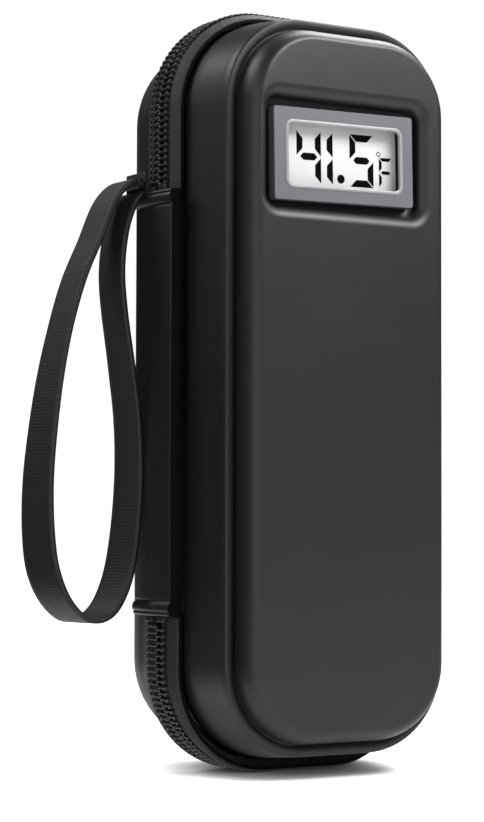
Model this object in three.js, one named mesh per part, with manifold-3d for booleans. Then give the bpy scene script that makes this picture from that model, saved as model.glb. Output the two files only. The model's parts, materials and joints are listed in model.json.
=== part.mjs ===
// Zip-round cooling case for insulin pens, with a thermometer let into its lid.
// Millimetres, +Z up. The case stands on its zip, the display faces -Y and the
// fabric spine with the wrist strap is on -X.

import * as THREE from 'three';
import { mergeVertices } from 'three/addons/utils/BufferGeometryUtils.js';
import Module from 'manifold-3d';

const wasm = await Module();
wasm.setup();

// Case envelope
const caseHeight = 210;
const caseWidth = 82.6;
const cornerRadius = 30;
const frontDepth = 34.5;
const backDepth = 31;
const cornerSteps = 8;
const plateSteps = 4;
const roundSides = 24;
const fit = 0.3;
const overrun = 2;
const mergeTolerance = 1e-5;

// Moulded shells
const shell = {
  inset: 3.4,
  wall: 3,
  rimStart: 5.4,
  draft: 2,
  edgeDrop: 10,
  edgeRun: 8,
  backDrop: 16,
  backRun: 11,
  arcSteps: 5,
  crestDrop: 10.6,
  grooveDepth: 6.5,
  grooveRun: 2.8,
  panelRun: 4.6,
  crestTurn: Math.PI * 4 / 9,
};

// Insulated linings
const lining = { wall: 2, seamHalf: 0.7 };

// Zip: tape, coil teeth and end stops
const zip = {
  lipReach: 11.6,
  lipShoulder: 0.8,
  lipFall: 1.1,
  lipRoll: 1.4,
  lipOverhang: 2.2,
  rollSteps: 2,
  chainHalf: 4.8,
  chainThickness: 1.6,
  webEdge: 1.2,
  toothPitch: 1.75,
  toothReach: 0.5,
  toothRelief: 0.45,
  meshGap: 0.5,
  openEdge: 0.6,
  stopLength: 1.4,
  stopProud: 0.25,
};

// Sliders and their pull tabs
const slider = {
  length: 14,
  plate: 1.2,
  rise: 0.7,
  lipDepth: 0.4,
  lipWidth: 0.6,
  postHalf: 0.25,
  postLength: 4,
  innerPlate: 1,
  crownLength: 10,
  crownWidth: 2.6,
  crownBar: 0.9,
  crownRoom: 2.4,
  noseShare: 0.55,
};
const pull = {
  width: 7.5,
  length: 21,
  thickness: 1.2,
  bar: 1.6,
  slotLength: 5.4,
  waistShare: 0.55,
  roundSteps: 8,
};

// Fabric spine between the two ends of the zip
const spine = {
  bottom: 43,
  length: 115,
  reach: 12,
  skin: 1.4,
  proud: 0.6,
  foldHalf: 0.2,
  hemHeight: 3.9,
  hemProud: 0.4,
};

// Wrist strap: a flat webbing loop that hangs from the top of the spine
const strap = {
  width: 13,
  thickness: 1.2,
  nearEdge: 3,
  rootAbove: 3.2,
  reach: 30.5,
  drop: 119.5,
  anchorHeight: 6,
  anchorSkin: 1,
  steps: 56,
};

// Thermometer in the lid
const display = {
  dropFromTop: 43.4,
  shift: -1.9,
  windowWidth: 37,
  windowHeight: 17,
  windowRadius: 1.8,
  sideMargin: 4.15,
  endMargin: 3.95,
  belowFace: 1.5,
  bezelPlate: 1.2,
  bezelDepth: 3,
  bezelRadius: 0.8,
  pocketGap: 1.7,
  pocketRadius: 3.4,
  pocketSteps: 5,
  lipRadius: 3.3,
  floor: 2,
  wellWall: 2.2,
};
const module = {
  lensLip: 1.1,
  lens: 0.9,
  lcdBorder: 0.8,
  lcd: 1.6,
  stripHeight: 1.6,
  stripLength: 2.4,
  board: 1,
  wall: 1.1,
  web: 1,
  cellDiameter: 11.6,
  cellSides: 32,
  cellLength: 5.4,
  cellContact: 0.4,
  coverPlate: 1.4,
  coverLip: 1.6,
  buttonRadius: 1.9,
  buttonProud: 0.9,
  buttonTravel: 0.8,
  sensorRadius: 1.8,
  sensorReach: 4.5,
  sensorSides: 20,
  sensorSteps: 5,
  portOffset: 16.2,
};

// Contents that keep the pens cold
const pack = {
  sideMargin: 5,
  endMargin: 12,
  thickness: 11,
  cornerRadius: 9,
  crown: 2.6,
  rounding: 4,
  layers: 4,
  cornerSteps: 5,
};
const pocket = {
  thickness: 0.8,
  topMargin: 4,
  slotWidth: 6,
  slotHeight: 11,
  rows: 7,
  columns: 4,
  border: 12,
  cornerSteps: 6,
};
const pens = {
  count: 3,
  margin: 1,
  band: 1,
  bandHeight: 18,
  land: 1,
  panel: 1.2,
  archSteps: 10,
  lowBandShare: 0.27,
  highBandShare: 0.66,
};

// Finishes
const finish = (color, roughness, metalness = 0) =>
  new THREE.MeshStandardMaterial({ color, roughness, metalness });
const moulded = finish(0x26272a, 0.5);
const leatherette = finish(0x141416, 0.55);
const webbing = finish(0x1b1b1e, 0.85);
const tapeCloth = finish(0x101012, 0.9);
const nylon = finish(0x2c2c30, 0.45);
const darkMetal = finish(0x3a3a3e, 0.35, 0.9);
const greyPlastic = finish(0x4a4b50, 0.45);
const blackPlastic = finish(0x111214, 0.5);
const clear = finish(0xd9dde0, 0.08);
const lcdGlass = finish(0xb9bdb8, 0.2);
const boardGreen = finish(0x1f5a38, 0.6);
const steel = finish(0xb4b6ba, 0.3, 1);
const foil = finish(0xb9bcc2, 0.35, 0.6);
const gel = finish(0x9fc6de, 0.35);
const rubber = finish(0x2a2a2a, 0.7);
const elastic = finish(0x222226, 0.9);

const centreZ = caseHeight / 2;
const displayZ = caseHeight - display.dropFromTop;

// Geometry helpers

const closedGeometry = (points, triangles) => {
  let volume = 0;
  const a = new THREE.Vector3();
  const b = new THREE.Vector3();
  const c = new THREE.Vector3();
  for (const [i, j, k] of triangles) {
    a.fromArray(points[i]);
    b.fromArray(points[j]);
    c.fromArray(points[k]);
    volume += a.dot(b.cross(c));
  }
  const faces = volume < 0 ? triangles.map(([i, j, k]) => [i, k, j]) : triangles;
  const geometry = new THREE.BufferGeometry();
  geometry.setAttribute('position', new THREE.Float32BufferAttribute(points.flat(), 3));
  geometry.setIndex(faces.flat());
  return geometry;
};

const solid = (source) => {
  const bare = source.clone();
  bare.deleteAttribute('normal');
  bare.deleteAttribute('uv');
  const merged = mergeVertices(bare, mergeTolerance);
  return new wasm.Manifold(new wasm.Mesh({
    numProp: 3,
    vertProperties: Float32Array.from(merged.attributes.position.array),
    triVerts: Uint32Array.from(merged.index.array),
  }));
};

const cut = (body, ...tools) => tools.reduce((left, tool) => left.subtract(tool), body);
const join = (body, ...others) => others.reduce((left, other) => left.add(other), body);

const geometryOf = (body) => {
  const mesh = body.getMesh();
  const geometry = new THREE.BufferGeometry();
  geometry.setAttribute('position', new THREE.Float32BufferAttribute(mesh.vertProperties, mesh.numProp));
  geometry.setIndex(Array.from(mesh.triVerts));
  return geometry;
};

// A box between two corners
const block = ([x0, y0, z0], [x1, y1, z1]) => {
  const box = new THREE.BoxGeometry(Math.abs(x1 - x0), Math.abs(y1 - y0), Math.abs(z1 - z0));
  box.translate((x0 + x1) / 2, (y0 + y1) / 2, (z0 + z1) / 2);
  return solid(box);
};

// A round bar along Y
const barY = (radius, x, z, y0, y1, sides = roundSides) => {
  const bar = new THREE.CylinderGeometry(radius, radius, Math.abs(y1 - y0), sides);
  bar.translate(x, (y0 + y1) / 2, z);
  return bar;
};

// The corner points of a rounded rectangle, as places and outward directions
const cornerStations = (halfWidth, halfHeight, radius, steps = cornerSteps) => {
  const stations = [];
  for (let corner = 0; corner < 4; corner += 1) {
    const signX = corner === 0 || corner === 3 ? 1 : -1;
    const signZ = corner < 2 ? 1 : -1;
    for (let step = 0; step <= steps; step += 1) {
      const turn = (Math.PI / 2) * (corner + step / steps);
      stations.push({
        x: signX * (halfWidth - radius) + radius * Math.cos(turn),
        z: signZ * (halfHeight - radius) + radius * Math.sin(turn),
      });
    }
  }
  return stations;
};

// A solid through a stack of rounded rectangles along Y
const loft = (rings, x0, z0, steps = cornerSteps) => {
  const points = [];
  const triangles = [];
  const count = 4 * (steps + 1);
  for (const { y, halfWidth, halfHeight, radius } of rings) {
    for (const { x, z } of cornerStations(halfWidth, halfHeight, radius, steps)) {
      points.push([x0 + x, y, z0 + z]);
    }
  }
  for (let ring = 0; ring + 1 < rings.length; ring += 1) {
    for (let i = 0; i < count; i += 1) {
      const a = ring * count + i;
      const b = ring * count + ((i + 1) % count);
      triangles.push([a, b, a + count], [b, b + count, a + count]);
    }
  }
  const last = (rings.length - 1) * count;
  points.push([x0, rings[0].y, z0], [x0, rings[rings.length - 1].y, z0]);
  for (let i = 0; i < count; i += 1) {
    const next = (i + 1) % count;
    triangles.push([points.length - 2, next, i], [points.length - 1, last + i, last + next]);
  }
  return closedGeometry(points, triangles);
};

// A ring of the case's own outline, drawn in by an inset
const caseRing = (y, inset) => ({
  y,
  halfWidth: caseWidth / 2 - inset,
  halfHeight: caseHeight / 2 - inset,
  radius: cornerRadius - inset,
});

const caseLoft = (profile, side) =>
  solid(loft(profile.map(([depth, inset]) => caseRing(side * depth, inset)), 0, centreZ));

// A plate with rounded corners, standing across Y
const plate = (width, height, radius, y0, y1, x0 = 0, z0 = centreZ, steps = plateSteps) => {
  const size = { halfWidth: width / 2, halfHeight: height / 2, radius };
  return solid(loft([{ y: y0, ...size }, { y: y1, ...size }], x0, z0, steps));
};

// Points of a quarter ellipse, from straight in to straight across
const edgeArc = (start, end, steps, turn = Math.PI / 2) => {
  const points = [];
  for (let step = 1; step <= steps; step += 1) {
    const angle = (turn * step) / steps;
    points.push([
      start[0] + (end[0] - start[0]) * Math.sin(angle),
      start[1] + (end[1] - start[1]) * (1 - Math.cos(angle)),
    ]);
  }
  return points;
};

// The zip's path: up from the spine, round the case and back to its lower end
const tapeStart = spine.bottom + spine.length + fit;
const tapeEnd = spine.bottom - fit;
const bandPath = (() => {
  const halfWidth = caseWidth / 2;
  const straightX = caseWidth - 2 * cornerRadius;
  const straightZ = caseHeight - 2 * cornerRadius;
  const arc = (Math.PI / 2) * cornerRadius;
  const low = cornerRadius;
  const high = caseHeight - cornerRadius;
  const line = (x, z, dx, dz, length) => ({
    length,
    at: (s) => ({ x: x + dx * s, z: z + dz * s, nx: -dz, nz: dx }),
  });
  const bend = (x, z, from) => ({
    length: arc,
    at: (s) => {
      const turn = from - s / cornerRadius;
      const nx = Math.cos(turn);
      const nz = Math.sin(turn);
      return { x: x + cornerRadius * nx, z: z + cornerRadius * nz, nx, nz };
    },
  });
  const inner = halfWidth - cornerRadius;
  return [
    line(-halfWidth, tapeStart, 0, 1, high - tapeStart),
    bend(-inner, high, Math.PI),
    line(-inner, caseHeight, 1, 0, straightX),
    bend(inner, high, Math.PI / 2),
    line(halfWidth, high, 0, -1, straightZ),
    bend(inner, low, 0),
    line(inner, 0, -1, 0, straightX),
    bend(-inner, low, -Math.PI / 2),
    line(-halfWidth, low, 0, 1, tapeEnd - low),
  ];
})();
const pathLength = bandPath.reduce((sum, piece) => sum + piece.length, 0);

const pathAt = (distance) => {
  let left = distance;
  for (const piece of bandPath) {
    if (left <= piece.length) return piece.at(left);
    left -= piece.length;
  }
  const last = bandPath[bandPath.length - 1];
  return last.at(last.length);
};

// Stations at the ends of each straight and at equal turns of each corner
const coarseStations = () => {
  const stations = [];
  bandPath.forEach((piece, index) => {
    const steps = index % 2 === 1 ? cornerSteps : 1;
    for (let step = index === 0 ? 0 : 1; step <= steps; step += 1) {
      stations.push(piece.at((piece.length * step) / steps));
    }
  });
  return stations;
};

// A solid swept along the zip's path; section(index) lists [inset, y] points
const sweep = (stations, section) => {
  const points = [];
  const triangles = [];
  stations.forEach((station, index) => {
    for (const [inset, y] of section(index, station)) {
      points.push([station.x - station.nx * inset, y, station.z - station.nz * inset]);
    }
  });
  const count = points.length / stations.length;
  for (let ring = 0; ring + 1 < stations.length; ring += 1) {
    for (let i = 0; i < count; i += 1) {
      const a = ring * count + i;
      const b = ring * count + ((i + 1) % count);
      triangles.push([a, b, a + count], [b, b + count, a + count]);
    }
  }
  const outline = section(0, stations[0]).map(([inset, y]) => new THREE.Vector2(inset, y));
  const last = (stations.length - 1) * count;
  const turned = THREE.ShapeUtils.isClockWise(outline);
  for (const [i, j, k] of THREE.ShapeUtils.triangulateShape(outline, [])) {
    const [p, q] = turned ? [k, i] : [i, k];
    triangles.push([q, j, p], [last + p, last + j, last + q]);
  }
  return closedGeometry(points, triangles);
};

// Shells

const frontHalf = { depth: frontDepth, drop: shell.edgeDrop, run: shell.edgeRun };
const backHalf = { depth: backDepth, drop: shell.backDrop, run: shell.backRun };

const cavityProfile = ({ depth, drop, run }, offset, rim) => {
  const flank = shell.inset + shell.draft + offset;
  const flankEnd = depth - drop;
  const arcEnd = [depth - offset, shell.inset + shell.draft + run];
  return [
    [rim, shell.inset + offset],
    [flankEnd, flank],
    ...edgeArc([flankEnd, flank], arcEnd, shell.arcSteps),
  ];
};

// The lid's edge turns over, dips into a groove and rises to a flat panel
const lidProfile = () => {
  const flank = shell.inset + shell.draft;
  const flankEnd = frontDepth - shell.crestDrop;
  const grooveY = frontDepth - shell.grooveDepth;
  const crest = edgeArc(
    [flankEnd, flank],
    [flankEnd + (grooveY - flankEnd) / Math.sin(shell.crestTurn),
      flank + (shell.grooveRun - fit) / (1 - Math.cos(shell.crestTurn))],
    shell.arcSteps, shell.crestTurn);
  const grooveEnd = [grooveY + fit, flank + shell.grooveRun];
  const panel = [frontDepth, grooveEnd[1] + shell.panelRun];
  return [[shell.rimStart, shell.inset], [flankEnd, flank], ...crest, grooveEnd,
    ...edgeArc(grooveEnd, panel, shell.arcSteps)];
};

const bezelWidth = display.windowWidth + 2 * display.sideMargin;
const bezelHeight = display.windowHeight + 2 * display.endMargin;
const bezelFront = frontDepth - display.belowFace;
const bezelBack = bezelFront - display.bezelDepth;
const pocketFloor = bezelBack - fit;
const pocketWidth = bezelWidth + 2 * display.pocketGap;
const pocketHeight = bezelHeight + 2 * display.pocketGap;
const wellWidth = pocketWidth + 2 * display.wellWall;
const wellHeight = pocketHeight + 2 * display.wellWall;
const wellRadius = display.pocketRadius + display.wellWall;
const wellBack = pocketFloor - display.floor;
const bodyWidth = display.windowWidth + 2 * (module.lensLip + fit + module.wall);
const bodyHeight = display.windowHeight + 2 * (module.lensLip + fit + module.wall);

const atDisplay = (width, height, radius, y0, y1) =>
  plate(width, height, radius, y0, y1, display.shift, displayZ);

// The pocket's mouth rolls over into the face
const pocketTool = () => {
  const rings = [];
  const ringAt = (depth, flare) => ({
    y: -depth,
    halfWidth: pocketWidth / 2 + flare,
    halfHeight: pocketHeight / 2 + flare,
    radius: display.pocketRadius + flare,
  });
  rings.push(ringAt(pocketFloor, 0), ringAt(frontDepth - display.lipRadius, 0));
  for (const [depth, flare] of edgeArc([frontDepth - display.lipRadius, 0],
    [frontDepth, display.lipRadius], shell.arcSteps)) {
    rings.push(ringAt(depth, flare));
  }
  rings.push(ringAt(frontDepth + overrun, display.lipRadius));
  return solid(loft(rings, display.shift, displayZ, display.pocketSteps));
};

const frontShell = () => {
  const outer = caseLoft(lidProfile(), -1);
  const inner = caseLoft(cavityProfile(frontHalf, shell.wall, shell.rimStart - overrun), -1);
  const well = atDisplay(wellWidth, wellHeight, wellRadius, -wellBack, -(frontDepth - shell.wall / 2));
  const body = join(cut(outer, inner), well);
  const hole = atDisplay(bodyWidth + 2 * fit, bodyHeight + 2 * fit, display.bezelRadius,
    -(wellBack - overrun), -(pocketFloor + overrun));
  return geometryOf(cut(body, pocketTool(), hole));
};

const backShell = () => {
  const outer = caseLoft(cavityProfile(backHalf, 0, shell.rimStart), 1);
  const inner = caseLoft(cavityProfile(backHalf, shell.wall, shell.rimStart - overrun), 1);
  return geometryOf(cut(outer, inner));
};

// Linings

const liningOffset = shell.wall + fit;
const liningInside = liningOffset + lining.wall;

const liningTray = (half, side) => {
  const outer = caseLoft(cavityProfile(half, liningOffset, lining.seamHalf), side);
  const inner = caseLoft(cavityProfile(half, liningInside, lining.seamHalf - overrun), side);
  return cut(outer, inner);
};

const frontLining = () => {
  const window = atDisplay(wellWidth + 2 * fit, wellHeight + 2 * fit, wellRadius + fit,
    -(frontDepth - liningInside - overrun), -frontDepth);
  return geometryOf(cut(liningTray(frontHalf, -1), window));
};

const backLining = () => geometryOf(liningTray(backHalf, 1));

// Zip tapes and teeth

const tapeInner = shell.inset - fit;
const webOuter = zip.chainThickness + fit;

// The strip lies below the teeth, falls away and rolls over towards the shell.
// Under the case it is pressed flat, level with the teeth.
const zipTape = (side) => sweep(coarseStations(), (index, station) => {
  const relaxed = Math.min(1, station.z / cornerRadius);
  const brow = relaxed * (zip.lipShoulder + zip.lipFall);
  const roll = edgeArc([zip.lipReach - zip.lipRoll, brow], [zip.lipReach, brow + zip.lipRoll], zip.rollSteps);
  return [
    ...roll.reverse().map(([y, inset]) => [inset, side * y]),
    [brow, side * (zip.lipReach - zip.lipRoll)],
    [relaxed * zip.lipShoulder, side * (zip.chainHalf + fit)],
    [webOuter, side * (zip.chainHalf + fit)],
    [webOuter, side * zip.webEdge],
    [tapeInner, side * zip.webEdge],
    [tapeInner, side * (zip.lipReach - zip.lipOverhang)],
  ];
});

const chainStart = zip.stopLength + fit;
const chainLength = pathLength - 2 * chainStart;
const toothCount = Math.max(2, Math.round(chainLength / zip.toothPitch));
const openGap = 2 * (zip.openEdge + zip.toothReach);

const toothStations = () => {
  const stations = [];
  for (let half = 0; half <= 2 * toothCount; half += 1) {
    stations.push(pathAt(chainStart + (chainLength * half) / (2 * toothCount)));
  }
  return stations;
};

// The rows mesh everywhere but on the straight run that the sliders work on
const meshGapAt = (station) => {
  const run = caseWidth / 2 - zip.chainThickness;
  return station.x > run ? openGap : zip.meshGap;
};

const zipTeeth = (side) => sweep(toothStations(), (index, station) => {
  const sway = index % 2 === 0 ? 1 : -1;
  const isTip = sway === -side;
  const edge = side * (meshGapAt(station) / 2) + sway * zip.toothReach;
  const crest = isTip ? 0 : zip.toothRelief;
  return [
    [crest, side * zip.chainHalf],
    [crest, edge],
    [zip.chainThickness, edge],
    [zip.chainThickness, side * zip.chainHalf],
  ];
});

const zipStop = (side, end) => {
  const inward = end === 'upper' ? 1 : -1;
  const z0 = end === 'upper' ? tapeStart : tapeEnd;
  return geometryOf(block(
    [-caseWidth / 2 - zip.stopProud, side * zip.chainHalf, z0],
    [-caseWidth / 2 + zip.chainThickness, side * zip.webEdge, z0 + inward * zip.stopLength]));
};

// Spine

const spineTop = spine.bottom + spine.length;
const spineLeaf = (side) => {
  const outerX = -caseWidth / 2 - spine.proud;
  const innerX = -caseWidth / 2 + tapeInner;
  const skin = block([outerX, side * spine.foldHalf, spine.bottom],
    [outerX + spine.skin, side * spine.reach, spineTop]);
  const seat = block([outerX, side * (shell.rimStart + fit), spine.bottom],
    [innerX, side * (spine.reach - zip.lipOverhang), spineTop]);
  const hem = (z0, z1) => block([outerX - spine.hemProud, side * spine.foldHalf, z0],
    [outerX + spine.skin, side * (spine.reach + spine.hemProud), z1]);
  return geometryOf(join(skin, seat,
    hem(spine.bottom, spine.bottom + spine.hemHeight),
    hem(spineTop - spine.hemHeight, spineTop)));
};

// Wrist strap

const strapRootX = -caseWidth / 2 - strap.anchorSkin - fit;
const strapRootZ = spineTop + strap.rootAbove;

// Places on the loop: shares of its reach outwards and of its drop
const strapRouteShares = [
  [0.01, 0.008], [0.13, 0], [0.31, 0.045], [0.47, 0.135], [0.64, 0.23], [0.775, 0.34], [0.88, 0.46],
  [0.95, 0.58], [0.99, 0.69], [0.985, 0.8], [0.93, 0.89], [0.79, 0.96], [0.58, 1],
  [0.35, 0.985], [0.19, 0.92], [0.1, 0.82], [0.055, 0.68], [0.07, 0.55], [0.14, 0.42],
  [0.22, 0.29], [0.245, 0.2], [0.2, 0.11], [0.1, 0.045], [0.01, 0.024],
];

const wristStrap = () => {
  const route = new THREE.CatmullRomCurve3(strapRouteShares.map(([out, down]) => new THREE.Vector3(
    strapRootX - out * strap.reach, 0, strapRootZ - down * strap.drop)), false, 'centripetal');
  const spots = route.getSpacedPoints(strap.steps);
  const points = [];
  const triangles = [];
  spots.forEach((spot, index) => {
    const before = spots[Math.max(index - 1, 0)];
    const after = spots[Math.min(index + 1, spots.length - 1)];
    const along = after.clone().sub(before).normalize();
    const half = strap.thickness / 2;
    const nx = -along.z * half;
    const nz = along.x * half;
    const near = strap.nearEdge;
    const far = strap.nearEdge + strap.width;
    points.push([spot.x + nx, near, spot.z + nz], [spot.x + nx, far, spot.z + nz],
      [spot.x - nx, far, spot.z - nz], [spot.x - nx, near, spot.z - nz]);
  });
  for (let ring = 0; ring + 1 < spots.length; ring += 1) {
    for (let i = 0; i < 4; i += 1) {
      const a = ring * 4 + i;
      const b = ring * 4 + ((i + 1) % 4);
      triangles.push([a, b, a + 4], [b, b + 4, a + 4]);
    }
  }
  const last = (spots.length - 1) * 4;
  triangles.push([2, 1, 0], [3, 2, 0], [last, last + 1, last + 2], [last, last + 2, last + 3]);
  return closedGeometry(points, triangles);
};

const strapAnchor = () => geometryOf(block(
  [-caseWidth / 2 - strap.anchorSkin, zip.chainHalf + fit, spineTop + fit],
  [-caseWidth / 2 - fit, strap.nearEdge + strap.width - 2 * fit, spineTop + fit + strap.anchorHeight]));

// Sliders on the right-hand side, upper and lower mirrored about the meeting line

const sliderX = caseWidth / 2;
const pivotX = sliderX + slider.rise + slider.plate + slider.crownRoom / 2;

const sliderBody = (up) => {
  const z0 = up * (fit / 2);
  const z1 = up * slider.length;
  const mid = (z0 + z1) / 2;
  const plateFoot = sliderX + slider.rise;
  const plateTop = plateFoot + slider.plate;
  const half = zip.chainHalf + fit + slider.lipWidth;
  const outline = new THREE.Shape();
  outline.moveTo(-half, z0);
  outline.lineTo(half, z0);
  outline.lineTo(half, z1 - up * slider.length * (1 - slider.noseShare));
  outline.lineTo(half * slider.noseShare, z1);
  outline.lineTo(-half * slider.noseShare, z1);
  outline.lineTo(-half, z1 - up * slider.length * (1 - slider.noseShare));
  const profilePlate = (depth) => {
    const body = new THREE.ExtrudeGeometry(outline, { depth, bevelEnabled: false });
    body.applyMatrix4(new THREE.Matrix4().makeBasis(
      new THREE.Vector3(0, 1, 0), new THREE.Vector3(0, 0, 1), new THREE.Vector3(1, 0, 0)));
    return body;
  };
  const top = profilePlate(slider.plate);
  top.translate(plateFoot, 0, 0);
  const bottom = profilePlate(slider.innerPlate);
  const innerHalf = shell.rimStart - 2 * fit;
  bottom.scale(1, innerHalf / half, 1);
  bottom.translate(sliderX - shell.inset - slider.innerPlate, 0, 0);
  const lip = (side) => block([plateFoot - slider.lipDepth, side * (half - slider.lipWidth), z0],
    [plateFoot, side * half, z0 + up * slider.length * slider.noseShare]);
  const post = block([sliderX - shell.inset, -slider.postHalf, mid - slider.postLength / 2],
    [plateFoot, slider.postHalf, mid + slider.postLength / 2]);
  const crownTop = plateTop + slider.crownRoom + slider.crownBar;
  const crown = cut(
    block([plateTop, -slider.crownWidth / 2, mid - slider.crownLength / 2],
      [crownTop, slider.crownWidth / 2, mid + slider.crownLength / 2]),
    block([plateTop, -slider.crownWidth, mid - slider.crownLength / 2 + slider.crownBar],
      [plateTop + slider.crownRoom, slider.crownWidth, mid + slider.crownLength / 2 - slider.crownBar]));
  return geometryOf(join(solid(top), solid(bottom), lip(-1), lip(1), post, crown));
};

const pullTab = (up) => {
  const half = pull.width / 2;
  const outline = new THREE.Shape();
  const barTop = pull.bar / 2;
  const tip = pull.length - half;
  outline.moveTo(-half, -barTop);
  outline.lineTo(half, -barTop);
  outline.lineTo(half * pull.waistShare, tip / 2);
  outline.lineTo(half, tip);
  outline.absarc(0, tip, half, 0, Math.PI, false);
  outline.lineTo(-half * pull.waistShare, tip / 2);
  const slotHalf = slider.crownWidth / 2 + fit;
  const slot = new THREE.Path();
  slot.moveTo(-slotHalf, barTop);
  slot.lineTo(-slotHalf, barTop + pull.slotLength);
  slot.lineTo(slotHalf, barTop + pull.slotLength);
  slot.lineTo(slotHalf, barTop);
  outline.holes.push(slot);
  const body = new THREE.ExtrudeGeometry(outline, {
    depth: pull.thickness,
    bevelEnabled: false,
    curveSegments: pull.roundSteps,
  });
  body.applyMatrix4(new THREE.Matrix4().makeBasis(
    new THREE.Vector3(0, up, 0), new THREE.Vector3(0, 0, up), new THREE.Vector3(1, 0, 0)));
  body.translate(pivotX - pull.thickness / 2, 0, up * (slider.length + fit / 2) / 2);
  return body;
};

// Thermometer, from the bezel inwards

const lensBack = bezelFront - display.bezelPlate - module.lens;
const lcdFront = bezelBack - fit;
const lcdBack = lcdFront - module.lcd;
const boardFront = lcdBack - module.stripLength - 2 * fit;
const boardBack = boardFront - module.board;
const webFront = boardBack - fit;
const webBack = webFront - module.web;
const contactBack = webBack - fit - module.cellContact;
const cellFront = contactBack - fit;
const cellBack = cellFront - module.cellLength;
const coverFront = cellBack - fit;
const bodyBack = coverFront - module.coverPlate;
const bayWidth = 2 * module.cellDiameter + 3 * fit;
const bayHeight = module.cellDiameter + 2 * fit;

const displayBezel = () => {
  const frame = atDisplay(bezelWidth, bezelHeight, display.bezelRadius, -bezelBack, -bezelFront);
  const window = atDisplay(display.windowWidth, display.windowHeight, display.windowRadius,
    -(bezelBack - overrun), -(bezelFront + overrun));
  const rebate = atDisplay(display.windowWidth + 2 * (module.lensLip + fit),
    display.windowHeight + 2 * (module.lensLip + fit), display.windowRadius,
    -(bezelBack - overrun), -(bezelFront - display.bezelPlate));
  return geometryOf(cut(frame, window, rebate));
};

const displayLens = () => geometryOf(atDisplay(
  display.windowWidth + 2 * module.lensLip, display.windowHeight + 2 * module.lensLip,
  display.windowRadius, -(lensBack - fit), -(lensBack - fit + module.lens)));

const lcdPanel = () => geometryOf(atDisplay(
  display.windowWidth + 2 * module.lcdBorder, display.windowHeight + 2 * module.lcdBorder,
  display.bezelRadius, -lcdBack, -lcdFront));

const contactStrip = (end) => {
  const halfWidth = display.windowWidth / 2;
  const z = displayZ + end * (display.windowHeight / 2 - module.stripHeight);
  return geometryOf(block(
    [display.shift - halfWidth, -(boardFront + fit), z - module.stripHeight / 2],
    [display.shift + halfWidth, -(lcdBack - fit), z + module.stripHeight / 2]));
};

const circuitBoard = () => geometryOf(atDisplay(
  display.windowWidth + 2 * module.lcdBorder, display.windowHeight + 2 * module.lcdBorder,
  display.bezelRadius, -boardBack, -boardFront));

const buttonX = display.shift + module.portOffset;
const sensorX = display.shift - module.portOffset;

const thermometerHousing = () => {
  const body = atDisplay(bodyWidth, bodyHeight, display.bezelRadius, -bodyBack, -(bezelBack - fit));
  const front = atDisplay(bodyWidth - 2 * module.wall, bodyHeight - 2 * module.wall,
    display.bezelRadius, -webFront, -(bezelBack + overrun));
  const bay = atDisplay(bayWidth, bayHeight, bayHeight / 2, -(bodyBack - overrun), -webBack);
  const rebate = atDisplay(bayWidth + 2 * (module.coverLip + fit), bayHeight + 2 * (module.coverLip + fit),
    display.windowRadius, -(bodyBack - overrun), -(coverFront + fit));
  const port = (radius, x) => solid(barY(radius + fit, x, displayZ, -(bodyBack - overrun), -webBack));
  return geometryOf(cut(body, front, bay, rebate,
    port(module.buttonRadius, buttonX), port(module.sensorRadius, sensorX)));
};

const buttonCell = (side) => {
  const x = display.shift + side * (module.cellDiameter + fit) / 2;
  return barY(module.cellDiameter / 2, x, displayZ, -cellBack, -cellFront, module.cellSides);
};

const cellContacts = () => geometryOf(atDisplay(bayWidth - 2 * fit - module.cellDiameter / 2,
  bayHeight / 2, display.windowRadius, -contactBack, -(webBack - fit)));

const batteryCover = () => {
  const cover = atDisplay(bayWidth + 2 * module.coverLip, bayHeight + 2 * module.coverLip,
    display.windowRadius, -bodyBack, -coverFront);
  const slot = block([display.shift - module.cellDiameter / 2, -(bodyBack - overrun), displayZ - fit],
    [display.shift + module.cellDiameter / 2, -(bodyBack + module.coverPlate / 2), displayZ + fit]);
  return geometryOf(cut(cover, slot));
};

const unitButton = () => barY(module.buttonRadius, buttonX, displayZ,
  -(webBack - module.buttonTravel - fit), -(bodyBack - module.buttonProud));

const temperatureSensor = () => {
  const radius = module.sensorRadius;
  const foot = webBack - fit;
  const length = foot - (bodyBack - module.sensorReach);
  const shoulder = length - radius;
  const corners = [[0, 0], [radius, 0], [radius, shoulder]];
  const profile = corners.map(([x, y]) => new THREE.Vector2(x, y));
  for (let step = 1; step < module.sensorSteps; step += 1) {
    const turn = (Math.PI / 2) * (step / module.sensorSteps);
    profile.push(new THREE.Vector2(radius * Math.cos(turn), shoulder + radius * Math.sin(turn)));
  }
  profile.push(new THREE.Vector2(0, length));
  const tip = new THREE.LatheGeometry(profile, module.sensorSides);
  tip.translate(sensorX, -foot, displayZ);
  return tip;
};

// Contents

const insideWidth = caseWidth - 2 * (shell.inset + liningInside);
const frontWall = frontDepth - liningInside;
const backWall = backDepth - liningInside;

// A sealed gel pack: a pillow with a crown that dies away into its seam
const gelPack = (side, wallDepth, low, high) => {
  const far = wallDepth - fit;
  const near = far - pack.thickness;
  const halfWidth = insideWidth / 2 - pack.sideMargin - shell.draft - pack.crown;
  const halfHeight = (high - low) / 2;
  const layers = [];
  for (let step = 0; step <= 2 * pack.layers; step += 1) {
    const turn = (Math.PI / 2) * (step / pack.layers - 1);
    layers.push({
      y: side * ((far + near) / 2 + (pack.thickness / 2) * Math.sin(turn)),
      halfWidth: halfWidth - pack.rounding * (1 - Math.cos(turn)),
      halfHeight: halfHeight - pack.rounding * (1 - Math.cos(turn)),
      radius: pack.cornerRadius - pack.rounding * (1 - Math.cos(turn)) / 2,
    });
  }
  return loft(layers, 0, (low + high) / 2, pack.cornerSteps);
};

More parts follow.
